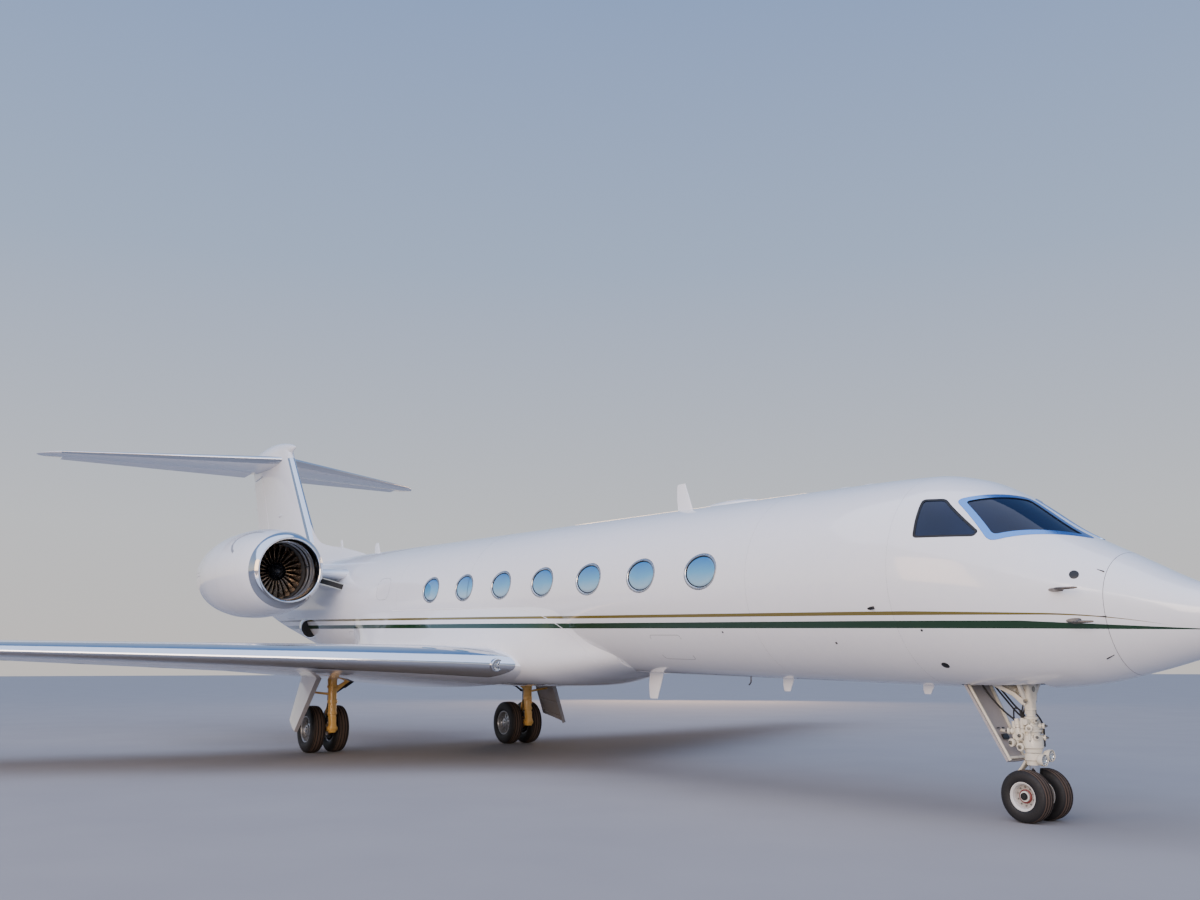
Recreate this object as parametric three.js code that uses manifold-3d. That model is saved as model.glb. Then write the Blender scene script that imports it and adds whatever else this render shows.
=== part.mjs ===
// Twin-engined long-range business jet, parked on its wheels.
// Millimetres. +X is forward, +Y is to port, +Z is up. The origin is on the ground,
// on the plane of symmetry, half way between the nose tip and the tailplane tips.
// A station is a distance aft of the nose tip. A rel height is measured from the
// fuselage axis, which rises aft because the parked jet sits slightly nose-down.

import * as THREE from "three";
import { mergeVertices } from "three/addons/utils/BufferGeometryUtils.js";
import Module from "manifold-3d";

const wasm = await Module();
wasm.setup();

// Driving dimensions
const LENGTH = 29390;
const AXIS_HEIGHT = 2456;
const AXIS_RISE = 0.02625;
const FUSELAGE_WALL = 70;
const SEAT_GAP = 0.3;
const PANEL_GAP = 6;
const RING_POINTS = 32;
const INNER_POINTS = 16;

const CABIN = { front: 5600, rear: 15400, floor: -620, floorThickness: 40 };
const WINDOW = { first: 6450, pitch: 1255.8, count: 7, rel: 162, halfLength: 320, halfHeight: 240 };
const DOOR = { front: 4350, rear: 5260, sill: -620, head: 930, clearance: 7 };
const RADOME_REAR = 1330;
const NOSE_REAR = 3450;

const WING = { rootY: 1000, kinkY: 4400, tipY: 13300, winglet: 14231 };
const FLAP = { rootY: 1800, tipY: 8350, rootHinge: 16400, tipHinge: 17480, chordLimit: 2500 };
const AILERON = { rootY: 8650, tipY: 12700, rootHinge: 17640, tipHinge: 18640 };
const SPOILER = { rootY: 3300, tipY: 8200, rootHinge: 16020, tipHinge: 16830, chord: 480, thickness: 32 };

const NACELLE = { y: 2430, rel: 650, lip: 17870, cowlFront: 18120, middle: 20000, cowlRear: 21100 };
const FAN = { station: 18760, radius: 595, hub: 190, blades: 24 };
const MAIN_GEAR = { station: 16340, y: 2185, spacing: 235, tyreRadius: 436, tyreWidth: 280, rimRadius: 235 };
const NOSE_GEAR = { station: 2585, spacing: 176, tyreRadius: 263, tyreWidth: 184, rimRadius: 140 };

const at = (station) => LENGTH / 2 - station;
const axisZ = (station) => AXIS_HEIGHT + AXIS_RISE * station;
const lerp = (a, b, t) => a + (b - a) * t;
const radians = (degrees) => degrees * Math.PI / 180;

// Fuselage sections
// columns: station, half width, height of the widest point, crown, keel (rel heights)
const FUSELAGE = [
  [0, 25, -486, -461, -511],
  [90, 125, -480, -375, -590],
  [320, 265, -455, -262, -700],
  [720, 425, -400, -130, -830],
  [1330, 610, -310, 175, -1010],
  [1800, 765, -230, 415, -1115],
  [2480, 975, -110, 880, -1180],
  [2900, 1070, -50, 1075, -1195],
  [3450, 1145, 0, 1178, -1195],
  [4250, 1195, 0, 1195, -1195],
  [18600, 1195, 0, 1195, -1195],
  [20000, 1150, 15, 1185, -1125],
  [21200, 1060, 50, 1165, -960],
  [22400, 930, 110, 1130, -735],
  [23600, 770, 190, 1080, -515],
  [24800, 590, 300, 1010, -255],
  [26000, 400, 430, 920, 10],
  [27000, 230, 530, 790, 250],
  [27450, 110, 560, 670, 450],
];

// Belly fairing sections
// columns: station, width at the top seam, waist width, waist rel height, bottom rel height
const FAIRING_TOP = -200;
const FAIRING = [
  [8900, 1000, 750, -800, -1150],
  [9250, 1100, 880, -860, -1215],
  [9800, 1160, 1100, -900, -1330],
  [10600, 1172, 1330, -940, -1455],
  [12000, 1172, 1450, -960, -1505],
  [15600, 1172, 1480, -980, -1540],
  [16700, 1168, 1330, -950, -1480],
  [17500, 1150, 1080, -890, -1300],
  [18300, 1060, 800, -820, -1140],
];

// Wing sections
// columns: y, leading edge station, chord, leading edge height, thickness ratio, nose-up twist
const WING_SECTIONS = [
  [WING.rootY, 10450, 6900, 1580, 0.108, 2.4],
  [2200, 11170, 6180, 1640, 0.108, 2.2],
  [WING.kinkY, 12490, 4860, 1722, 0.106, 1.5],
  [8350, 14860, 3370, 1838, 0.102, 0.4],
  [WING.tipY, 17830, 1560, 1990, 0.095, -0.8],
];

// The wing is fuller above its chord line than below it.
const WING_FULLNESS = { above: 1.12, below: 0.62 };

// Winglet sections
// columns: y, leading edge station, chord, leading edge height, cant from upright wing in degrees
const WINGLET_SECTIONS = [
  [13580, 18030, 1470, 2030, 24],
  [13790, 18230, 1340, 2170, 55],
  [13900, 18400, 1220, 2350, 74],
  [WING.winglet, 19420, 560, 3330, 78],
];

// Solid helpers

function triangleVolume(positions, index) {
  let volume = 0;
  const a = new THREE.Vector3();
  const b = new THREE.Vector3();
  const c = new THREE.Vector3();
  for (let i = 0; i < index.length; i += 3) {
    a.fromArray(positions, index[i] * 3);
    b.fromArray(positions, index[i + 1] * 3);
    c.fromArray(positions, index[i + 2] * 3);
    volume += a.dot(b.cross(c));
  }
  return volume;
}

// A closed three.js geometry as a solid, with its faces turned outwards.
function solid(geometry) {
  const plain = geometry.clone();
  plain.deleteAttribute("normal");
  plain.deleteAttribute("uv");
  const merged = mergeVertices(plain, 1e-3);
  const positions = Float32Array.from(merged.attributes.position.array);
  const index = [];
  for (let i = 0; i < merged.index.count; i += 3) {
    const [a, b, c] = [0, 1, 2].map((k) => merged.index.getX(i + k));
    if (a !== b && b !== c && c !== a) index.push(a, b, c);
  }
  if (triangleVolume(positions, index) < 0) index.reverse();
  return new wasm.Manifold(
    new wasm.Mesh({ numProp: 3, vertProperties: positions, triVerts: Uint32Array.from(index) }),
  );
}

// A solid as a three.js geometry.
function geometryOf(body) {
  const mesh = body.getMesh();
  const geometry = new THREE.BufferGeometry();
  geometry.setAttribute("position", new THREE.BufferAttribute(Float32Array.from(mesh.vertProperties), 3));
  geometry.setIndex(Array.from(mesh.triVerts));
  geometry.computeVertexNormals();
  return geometry;
}

// The flat cap of a ring of points, as triangles in the ring's own winding.
function capTriangles(ring) {
  const normal = new THREE.Vector3();
  ring.forEach((p, i) => {
    const q = ring[(i + 1) % ring.length];
    normal.x += (p[1] - q[1]) * (p[2] + q[2]);
    normal.y += (p[2] - q[2]) * (p[0] + q[0]);
    normal.z += (p[0] - q[0]) * (p[1] + q[1]);
  });
  const size = normal.toArray().map(Math.abs);
  const drop = size.indexOf(Math.max(...size));
  const keep = [0, 1, 2].filter((k) => k !== drop);
  const flat = ring.map((p) => new THREE.Vector2(p[keep[0]], p[keep[1]]));
  const faces = THREE.ShapeUtils.triangulateShape(flat, []);
  const area = THREE.ShapeUtils.area(flat);
  const covered = faces.reduce((sum, face) => sum + THREE.ShapeUtils.area(face.map((k) => flat[k])), 0);
  return area * covered > 0 ? faces : faces.map(([a, b, c]) => [a, c, b]);
}

// A closed solid through rings that have the same number of points. Four-sided faces are
// split the mirrored way on the starboard side, so that the two sides match.
function loft(rings) {
  const count = rings[0].length;
  const index = [];
  for (let i = 0; i + 1 < rings.length; i += 1) {
    for (let j = 0; j < count; j += 1) {
      const k = (j + 1) % count;
      const [a, b, c, d] = [i * count + j, i * count + k, (i + 1) * count + k, (i + 1) * count + j];
      const port = rings[i][j][1] + rings[i][k][1] + rings[i + 1][j][1] + rings[i + 1][k][1] > 0;
      index.push(...(port ? [a, b, c, a, c, d] : [a, b, d, b, c, d]));
    }
  }
  const last = (rings.length - 1) * count;
  capTriangles(rings[0]).forEach(([a, b, c]) => index.push(a, c, b));
  capTriangles(rings[rings.length - 1]).forEach(([a, b, c]) => index.push(last + a, last + b, last + c));
  const geometry = new THREE.BufferGeometry();
  geometry.setAttribute("position", new THREE.Float32BufferAttribute(rings.flat(2), 3));
  geometry.setIndex(index);
  return solid(geometry);
}

function box(low, high) {
  const size = low.map((v, k) => high[k] - v);
  const middle = low.map((v, k) => (v + high[k]) / 2);
  return solid(new THREE.BoxGeometry(...size).translate(...middle));
}

// A round bar, or a cone, between two points.
function bar(from, to, radius, endRadius = radius, segments = 10, turn = 0) {
  const start = new THREE.Vector3(...from);
  const way = new THREE.Vector3(...to).sub(start);
  const geometry = new THREE.CylinderGeometry(endRadius, radius, way.length(), segments, 1, false, turn);
  geometry.applyQuaternion(
    new THREE.Quaternion().setFromUnitVectors(new THREE.Vector3(0, 1, 0), way.clone().normalize()),
  );
  const middle = start.addScaledVector(way, 0.5);
  return solid(geometry.translate(middle.x, middle.y, middle.z));
}

// The end point of a line, moved on by a length.
function lengthen(from, to, more) {
  const end = new THREE.Vector3(...to);
  return end.addScaledVector(end.clone().sub(new THREE.Vector3(...from)).normalize(), more).toArray();
}

// A pin, and the bore that it turns in with the seat gap all round.
const pin = (from, to, radius, sides = 6) => bar(from, to, radius, radius, sides);
function bore(from, to, radius, sides = 6) {
  const wide = (radius + SEAT_GAP) / Math.cos(Math.PI / sides);
  return bar(from, to, wide, wide, sides, Math.PI / sides);
}

// Pins at both ends of a hinge line that reach over the gaps into a moving surface.
function hingePins(a, b, radius, gaps) {
  const ends = [[b, a, gaps[0]], [a, b, gaps[1]]];
  const reach = (way, make, out, into) => make(lengthen(...way, out), lengthen(...way, -into), radius);
  return {
    pins: join(...ends.map(([from, to, gap]) => reach([from, to], pin, gap + 25, 30))),
    bores: join(...ends.map(([from, to]) => reach([from, to], bore, 20, 32))),
  };
}

// A flat plate of any outline: the points, and the same points moved by the thickness.
function plate(points, thickness) {
  return loft([points, points.map((p) => p.map((v, k) => v + thickness[k]))]);
}

// Turns a profile of [along, radius] pairs about an axis that starts at a point.
// A profile that doesn't start and end on the axis is a closed loop.
function turned(outline, origin, direction, segments) {
  const onAxis = outline[0][1] === 0;
  const profile = onAxis ? outline : [...outline, outline[0]];
  const geometry = new THREE.LatheGeometry(profile.map(([s, r]) => new THREE.Vector2(r, s)), segments);
  geometry.applyQuaternion(
    new THREE.Quaternion().setFromUnitVectors(new THREE.Vector3(0, 1, 0), new THREE.Vector3(...direction)),
  );
  return solid(geometry.translate(...origin));
}

const join = (...bodies) => bodies.reduce((a, b) => a.add(b));
const cut = (body, ...tools) => tools.reduce((a, b) => a.subtract(b), body);
const common = (...bodies) => bodies.reduce((a, b) => a.intersect(b));

// Cuts a body by its neighbour and leaves the seat gap below, above or beside it.
function seat(body, neighbour, direction) {
  return cut(body, neighbour, neighbour.translate(direction.map((v) => v * SEAT_GAP)));
}

// The assembly

const group = new THREE.Group();
group.name = "business_jet";

const FINISHES = {
  white_paint: [0xe9eaee, 0.18, 0.1],
  polished_metal: [0xc9ccd2, 0.12, 1.0],
  cockpit_glass: [0x0c0f14, 0.05, 0.0],
  dark_lining: [0x2a2b2e, 0.8, 0.0],
  fan_metal: [0x55504c, 0.35, 0.9],
  hot_metal: [0x6f6a66, 0.45, 0.9],
  gear_paint: [0xdedcd4, 0.35, 0.1],
  wheel_metal: [0x9c9fa3, 0.4, 0.8],
  tyre_rubber: [0x17171a, 0.85, 0.0],
};

function add(name, body, finish) {
  const [color, roughness, metalness] = FINISHES[finish];
  const geometry = body instanceof THREE.BufferGeometry ? body : geometryOf(body);
  const mesh = new THREE.Mesh(geometry, new THREE.MeshStandardMaterial({ color, roughness, metalness }));
  mesh.name = name;
  group.add(mesh);
}

// The same geometry on the other side of the plane of symmetry.
function mirrored(geometry) {
  const copy = geometry.clone().scale(1, -1, 1);
  const index = Array.from(copy.index.array).reverse();
  copy.setIndex(index);
  copy.computeVertexNormals();
  return copy;
}

function addPair(name, portBody, finish) {
  const geometry = geometryOf(portBody);
  add(`${name}_left`, geometry, finish);
  add(`${name}_right`, mirrored(geometry), finish);
}

// Fuselage shell

function fuselageSection(station) {
  const next = FUSELAGE.findIndex((row) => row[0] >= station);
  if (next <= 0) return FUSELAGE[next === 0 ? 0 : FUSELAGE.length - 1];
  const [low, high] = [FUSELAGE[next - 1], FUSELAGE[next]];
  const t = (station - low[0]) / (high[0] - low[0]);
  return low.map((v, k) => lerp(v, high[k], t));
}

function fuselageRing(station, inset, points = RING_POINTS) {
  const [, halfWidth, middle, crown, keel] = fuselageSection(station);
  return Array.from({ length: points }, (_, i) => {
    const angle = i * 2 * Math.PI / points;
    const half = Math.sin(angle) > 0 ? crown - middle - inset : middle - keel - inset;
    return [
      at(station),
      Math.cos(angle) * (halfWidth - inset),
      axisZ(station) + middle + Math.sin(angle) * half,
    ];
  });
}

function fuselageLoft(front, rear, inset = 0, points = RING_POINTS) {
  const between = FUSELAGE.map((row) => row[0]).filter((s) => s > front + 1 && s < rear - 1);
  return loft([front, ...between, rear].map((s) => fuselageRing(s, inset, points)));
}

// A length of shell, open at both ends unless the hollow starts behind the front.
function fuselageShell(front, rear, wall, hollowFront = front - 1) {
  return cut(fuselageLoft(front, rear), fuselageLoft(hollowFront, rear + 1, wall, INNER_POINTS));
}

const outerSkin = fuselageLoft(0, 27450);
const outerSkinProud = fuselageLoft(0, 27450, -SEAT_GAP);
const innerSkin = fuselageLoft(RADOME_REAR, 20500, FUSELAGE_WALL + SEAT_GAP, INNER_POINTS);

// Cockpit glass outlines: corners as [station, y, height] on the port side.
const WINDSCREEN = {
  corners: [[2730, 668, 3298], [2340, 95, 3295], [1745, 130, 2872], [2345, 790, 2890]],
  normal: [0.58, 0.38, 0.72],
};
const SIDE_WINDOW = {
  corners: [[3200, 765, 3363], [2945, 715, 3345], [2485, 838, 2938], [2518, 860, 2883], [3160, 1030, 2916]],
  normal: [0, 1, 0],
};

function windowTool({ corners, normal }, shrink, side) {
  const points = corners.map(([s, y, z]) => [at(s), y, z]);
  const middle = [0, 1, 2].map((k) => points.reduce((sum, p) => sum + p[k], 0) / points.length);
  const ring = (depth) => points.map((p) => {
    const arm = new THREE.Vector3(...p).sub(new THREE.Vector3(...middle));
    const moved = arm.clone().setLength(arm.length() - shrink).add(new THREE.Vector3(...middle));
    moved.addScaledVector(new THREE.Vector3(...normal), depth);
    return [moved.x, moved.y * side, moved.z];
  });
  return loft([ring(-260), ring(320)]);
}

const cockpitHoles = [1, -1].flatMap((side) => [WINDSCREEN, SIDE_WINDOW].map((w) => windowTool(w, 0, side)));

// Airstair doorway: a prism through the port wall.
function doorwayTool(clearance) {
  const ring = (station) => {
    const low = axisZ(station) + DOOR.sill - clearance;
    const high = axisZ(station) + DOOR.head + clearance;
    return [[300, low], [1500, low], [1500, high], [300, high]].map(([y, z]) => [at(station), y, z]);
  };
  return loft([ring(DOOR.front - clearance), ring(DOOR.rear + clearance)]);
}

// Nose gear bay mouth in the belly.
const NOSE_BAY = { front: 2230, rear: 3230, halfWidth: 270 };
const noseBayTool = box(
  [at(NOSE_BAY.rear), -NOSE_BAY.halfWidth, 1000],
  [at(NOSE_BAY.front), NOSE_BAY.halfWidth, 1650],
);

function cabinWindowTool(number, side) {
  const station = WINDOW.first + WINDOW.pitch * number;
  const hole = new THREE.CylinderGeometry(1, 1, 700, 16);
  hole.scale(WINDOW.halfLength, 1, WINDOW.halfHeight);
  return solid(hole.translate(at(station), side * 1150, axisZ(station) + WINDOW.rel));
}

const windowNumbers = Array.from({ length: WINDOW.count }, (_, i) => i);
const cabinHoles = windowNumbers.flatMap((n) => [1, -1].map((side) => cabinWindowTool(n, side)));

add("radome", fuselageShell(0, RADOME_REAR - SEAT_GAP, 30, 60), "white_paint");
const sillY = Math.sqrt(1195 ** 2 - DOOR.sill ** 2) - 2;
const sillEnds = [DOOR.front, DOOR.rear].map((station) => [at(station), sillY, axisZ(station) + DOOR.sill]);
const doorHinge = hingePins(...sillEnds, 12, [7, 7]);
const noseShell = fuselageShell(RADOME_REAR, NOSE_REAR - SEAT_GAP, FUSELAGE_WALL);
add("nose_fuselage", cut(noseShell, ...cockpitHoles, noseBayTool), "white_paint");
const entryShell = fuselageShell(NOSE_REAR, CABIN.front - SEAT_GAP, FUSELAGE_WALL);
add("entry_fuselage", join(cut(entryShell, doorwayTool(DOOR.clearance)), doorHinge.pins), "white_paint");

// Blade aerials on the crown and the keel
// columns: root front, root rear, tip front, tip rear (stations), root and tip heights, half thickness
const AERIALS = [
  [7930, 8230, 8160, 8290, 3800, 4270, 14],
  [8660, 8930, 8870, 9010, 1520, 1110, 12],
];
const aerials = AERIALS.map(([rootFront, rootRear, tipFront, tipRear, rootZ, tipZ, half]) => {
  const ring = (front, rear, z, t) => [
    [at(front), 0, z], [at(front + 60), t, z], [at(rear), 0, z], [at(front + 60), -t, z],
  ];
  return loft([ring(rootFront, rootRear, rootZ, half), ring(tipFront, tipRear, tipZ, half * 0.6)]);
});
const aerialRoom = fuselageLoft(7000, 9500, FUSELAGE_WALL - 10, INNER_POINTS);
add(
  "cabin_fuselage",
  join(
    cut(fuselageShell(CABIN.front, CABIN.rear - SEAT_GAP, FUSELAGE_WALL), ...cabinHoles),
    ...aerials.map((blade) => cut(blade, aerialRoom)),
  ),
  "white_paint",
);

// Baggage door in the port side, under the engine
const BAGGAGE = { front: 17150, rear: 18050, bottom: -300, top: 560 };
function baggageTool(grow) {
  const base = axisZ((BAGGAGE.front + BAGGAGE.rear) / 2);
  const low = [at(BAGGAGE.rear + grow), 600, base + BAGGAGE.bottom - grow];
  return box(low, [at(BAGGAGE.front - grow), 1400, base + BAGGAGE.top + grow]);
}
const aftShell = fuselageShell(CABIN.rear, 20600 - SEAT_GAP, FUSELAGE_WALL);
add("aft_fuselage", cut(aftShell, baggageTool(SEAT_GAP)), "white_paint");
add("baggage_door", common(aftShell, baggageTool(0)), "white_paint");
add("tail_cone", fuselageShell(20600, 27450, 50), "white_paint");

// Cockpit glass
const glassLayer = cut(fuselageLoft(1500, 3800, 8), fuselageLoft(1400, 3900, 34));
[["windscreen", WINDSCREEN], ["side_window", SIDE_WINDOW]].forEach(([name, outline]) => {
  addPair(name, common(glassLayer, windowTool(outline, SEAT_GAP * 2, 1)), "cockpit_glass");
});

// Cabin floor, glareshield and pilots' seats
function floorSlab() {
  const top = (station) => axisZ(station) + CABIN.floor;
  const ring = (station) => [
    [at(station), 1150, top(station)],
    [at(station), -1150, top(station)],
    [at(station), -1150, top(station) - CABIN.floorThickness],
    [at(station), 1150, top(station) - CABIN.floorThickness],
  ];
  return loft([ring(1900), ring(15200)]);
}

const floorPlate = floorSlab();
const entryRecess = box([at(DOOR.rear + 60), 480, 0], [at(DOOR.front - 60), 1300, 3000]);
add("cabin_floor", cut(common(floorPlate, innerSkin), entryRecess), "dark_lining");

const PANEL = { front: 1900, rear: 2330, top: 2860 };
const panelBase = axisZ(PANEL.front) + CABIN.floor;
const panelBlock = box([at(PANEL.rear), -900, panelBase], [at(PANEL.front), 900, PANEL.top]);
const floorProud = floorPlate.translate([0, 0, SEAT_GAP]);
add("instrument_panel", cut(common(panelBlock, innerSkin), floorProud), "dark_lining");

const SEATS = { station: 3050, y: 480, width: 480, depth: 480 };
function pilotSeats() {
  const floor = axisZ(SEATS.station) + CABIN.floor;
  const seats = [1, -1].flatMap((side) => {
    const y = side * SEATS.y;
    const half = SEATS.width / 2;
    const front = at(SEATS.station);
    const rear = at(SEATS.station + SEATS.depth);
    const backTop = at(SEATS.station + SEATS.depth + 190);
    return [
      box([rear - 60, y - 160, floor], [front - 60, y + 160, floor + 330]),
      box([rear - 60, y - half, floor + 329], [front, y + half, floor + 440]),
      loft([
        [[rear, y - half, floor + 439], [rear, y + half, floor + 439], [rear - 110, y + half, floor + 439],
          [rear - 110, y - half, floor + 439]],
        [[backTop + 100, y - 170, floor + 1120], [backTop + 100, y + 170, floor + 1120],
          [backTop, y + 170, floor + 1120], [backTop, y - 170, floor + 1120]],
      ]),
    ];
  });
  const rail = box([at(3560), -SEATS.y, floor], [at(3500), SEATS.y, floor + 45]);
  return cut(join(rail, ...seats), floorProud);
}
add("pilot_seats", pilotSeats(), "dark_lining");

// Airstair door: the wall panel with its steps, hinged along the sill.
function airstairDoor() {
  const block = fuselageLoft(DOOR.front - 50, DOOR.rear + 50);
  const wall = cut(block, fuselageLoft(DOOR.front - 51, DOOR.rear + 51, 62));
  const panel = common(wall, doorwayTool(0));
  const profile = (points) => (station) => points.map(([y, rel]) => [at(station), y, axisZ(station) + rel]);
  const side = profile([[1110, -380], [1060, 560], [620, 560], [690, -380]]);
  const stringers = [DOOR.front + 90, DOOR.rear - 120].map((s) => loft([side(s), side(s + 30)]));
  const treads = [-340, -85, 170, 425].map((rel) => {
    const tread = profile([[980, rel], [755, rel + 158], [755, rel + 188], [980, rel + 30]]);
    return loft([tread(DOOR.front + 100), tread(DOOR.rear - 100)]);
  });
  const inside = fuselageLoft(DOOR.front - 50, DOOR.rear + 50, 40);
  const stairs = common(join(...stringers, ...treads), inside);
  return join(panel, stairs);
}
add("airstair_door", cut(airstairDoor(), doorHinge.bores), "white_paint");

// Belly fairing

function fairingRing([station, topWidth, waistWidth, waist, bottom], grow) {
  const half = [];
  for (let i = 0; i <= 4; i += 1) {
    const t = i / 4;
    const blend = Math.sin(t * Math.PI / 2) ** 1.4;
    half.push([lerp(topWidth, waistWidth, blend) + grow, lerp(FAIRING_TOP, waist, t)]);
  }
  for (let i = 1; i <= 7; i += 1) {
    const angle = i * Math.PI / 14;
    half.push([
      waistWidth * Math.cos(angle) ** 0.72 + grow * Math.cos(angle),
      lerp(waist, bottom, Math.sin(angle) ** 0.72) - grow * Math.sin(angle),
    ]);
  }
  const floorPoint = half.pop();
  const port = half.map(([y, z]) => [at(station), y, axisZ(station) + z]);
  const starboard = half.map(([y, z]) => [at(station), -y, axisZ(station) + z]).reverse();
  return [...port, [at(station), 0, axisZ(station) + floorPoint[1]], ...starboard];
}

const fairingLoft = (grow) => loft(FAIRING.map((row) => fairingRing(row, grow)));
const fairingProud = fairingLoft(SEAT_GAP);
add("wing_body_fairing", cut(fairingLoft(0), outerSkinProud), "white_paint");

// Aerofoil solids

const AEROFOIL_STEPS = 7;

function halfThickness(x) {
  return 5 * (0.2969 * Math.sqrt(x) - 0.126 * x - 0.3516 * x ** 2 + 0.2843 * x ** 3 - 0.0995 * x ** 4);
}

// A ring of aerofoil points: nose is [x, y, z], up is the thickness direction.
function aerofoil(nose, chord, thickness, twist, up, fullness = { above: 1, below: 1 }) {
  const pair = (k, side) => {
    const x = (1 - Math.cos(Math.PI * k / AEROFOIL_STEPS)) / 2;
    const share = side > 0 ? fullness.above : -fullness.below;
    const lift = share * halfThickness(x) * thickness * chord;
    const drop = -x * chord * Math.sin(radians(twist));
    return [nose[0] - x * chord, nose[1] + up[1] * (lift + drop), nose[2] + up[2] * (lift + drop)];
  };
  const ring = [];
  for (let k = AEROFOIL_STEPS; k >= 0; k -= 1) ring.push(pair(k, 1));
  for (let k = 1; k <= AEROFOIL_STEPS; k += 1) ring.push(pair(k, -1));
  return ring;
}

function wingLoft() {
  const main = WING_SECTIONS.map(([y, edge, chord, height, thickness, twist]) => (
    aerofoil([at(edge), y, height], chord, thickness, twist, [0, 0, 1], WING_FULLNESS)
  ));
  const tips = WINGLET_SECTIONS.map(([y, edge, chord, height, cant]) => (
    aerofoil([at(edge), y, height], chord, 0.08, -1, [0, -Math.sin(radians(cant)), Math.cos(radians(cant))])
  ));
  return loft([...main, ...tips]);
}

// A hinged surface is bounded by a slab square to its hinge line, behind that line.
// from and to are the ends of the hinge line, up the direction of the surface's thickness.
// skew is how far each end runs outwards for each millimetre aft.
function hingeSlab(from, to, up, options) {
  const { ahead = 0, behind = 2500, below = 900, above = 900 } = options;
  const { margin = 0, skew = [0, 0], endMargin = margin } = options;
  const a = new THREE.Vector3(...from);
  const b = new THREE.Vector3(...to);
  const along = b.clone().sub(a).normalize();
  const lift = new THREE.Vector3(...up);
  lift.addScaledVector(along, -lift.dot(along)).normalize();
  const aft = new THREE.Vector3().crossVectors(along, lift).normalize();
  if (aft.x > 0) aft.negate();
  const corner = (end, side, back, height) => {
    const reach = side > 0 ? endMargin + skew[1] * back : -margin + skew[0] * back;
    const p = end.clone().addScaledVector(along, reach);
    return p.addScaledVector(aft, back).addScaledVector(lift, height).toArray();
  };
  const ring = (end, side) => [
    corner(end, side, -ahead, -below), corner(end, side, behind, -below),
    corner(end, side, behind, above), corner(end, side, -ahead, above),
  ];
  return loft([ring(a, -1), ring(b, 1)]);
}

// Height half way between the wing's surfaces, and half its thickness, at a station and span.
function wingAt(y, station) {
  const next = WING_SECTIONS.findIndex((row) => row[0] >= y);
  const [low, high] = [WING_SECTIONS[next - 1], WING_SECTIONS[next]];
  const t = (y - low[0]) / (high[0] - low[0]);
  const [, edge, chord, height, thickness, twist] = low.map((v, k) => lerp(v, high[k], t));
  const x = (station - edge) / chord;
  const { above, below } = WING_FULLNESS;
  const half = halfThickness(x) * thickness * chord;
  const line = height - x * chord * Math.sin(radians(twist));
  return { middle: line + half * (above - below) / 2, half: half * (above + below) / 2 };
}

function hingeEnds({ rootY, tipY, rootHinge, tipHinge }, drop) {
  return [[rootY, rootHinge], [tipY, tipHinge]].map(([y, station]) => {
    const { middle, half } = wingAt(y, station);
    return { point: [at(station), y, middle + half * drop], half };
  });
}

// A surface with a round nose on its hinge line, and the hole that it leaves.
function roundNosed(whole, ends, up, { skew = [0, 0], margin = PANEL_GAP + 4, endMargin = margin }) {
  const [a, b] = ends;
  const lead = Math.max(a.half, b.half) * 0.45 + 10;
  const reach = { ahead: 400, skew };
  const round = bar(a.point, b.point, a.half * 0.96, b.half * 0.96, 16);
  const nose = common(round, hingeSlab(a.point, b.point, up, reach));
  const surface = common(whole, join(hingeSlab(a.point, b.point, up, { skew }), nose));
  const socket = bar(
    lengthen(b.point, a.point, margin), lengthen(a.point, b.point, endMargin),
    a.half * 0.96 + PANEL_GAP + 1, b.half * 0.96 + PANEL_GAP + 1, 16,
  );
  const hole = join(
    hingeSlab(a.point, b.point, up, { ahead: lead, margin, endMargin, skew }),
    common(socket, hingeSlab(a.point, b.point, up, { ...reach, margin, endMargin })),
  );
  return { surface, hole };
}

const UP = [0, 0, 1];
const wholeWing = wingLoft();
const flapEnds = hingeEnds(FLAP, -0.98);
const flapPoints = flapEnds.map((end) => end.point);
const flap = common(wholeWing, hingeSlab(flapPoints[0], flapPoints[1], UP, { behind: FLAP.chordLimit }));
const flapHole = hingeSlab(flapPoints[0], flapPoints[1], UP, {
  ahead: PANEL_GAP, margin: PANEL_GAP + 4, behind: FLAP.chordLimit,
});
const aileron = roundNosed(wholeWing, hingeEnds(AILERON, 0), UP, {});

const spoilerEnds = hingeEnds(SPOILER, 0.98).map((end) => end.point);
const spoilerShape = { behind: SPOILER.chord };
const spoilerCore = wholeWing.translate([0, 0, -SPOILER.thickness]);
const spoilerSlab = hingeSlab(spoilerEnds[0], spoilerEnds[1], UP, spoilerShape);
const spoiler = cut(common(wholeWing, spoilerSlab), spoilerCore);
const spoilerHole = cut(
  hingeSlab(spoilerEnds[0], spoilerEnds[1], UP, {
    ahead: PANEL_GAP, margin: PANEL_GAP, behind: SPOILER.chord + PANEL_GAP, below: 200,
  }),
  wholeWing.translate([0, 0, -SPOILER.thickness - PANEL_GAP]),
);

const wingGaps = [PANEL_GAP + 4, PANEL_GAP + 4];
const flapHinge = hingePins(...flapPoints, 12, wingGaps);
const spoilerHinge = hingePins(...spoilerEnds, 9, wingGaps);
const aileronHinge = hingePins(...hingeEnds(AILERON, 0).map((end) => end.point), 12, wingGaps);
const portWing = cut(wholeWing, fairingProud, outerSkinProud, flapHole, aileron.hole, spoilerHole);
addPair("wing", join(portWing, flapHinge.pins, aileronHinge.pins, spoilerHinge.pins), "white_paint");
addPair("flap", cut(flap, flapHinge.bores), "white_paint");
addPair("aileron", cut(aileron.surface, aileronHinge.bores), "white_paint");
addPair("spoiler", cut(spoiler, spoilerHinge.bores), "white_paint");

// Fin, rudder, tailplane and elevators

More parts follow.
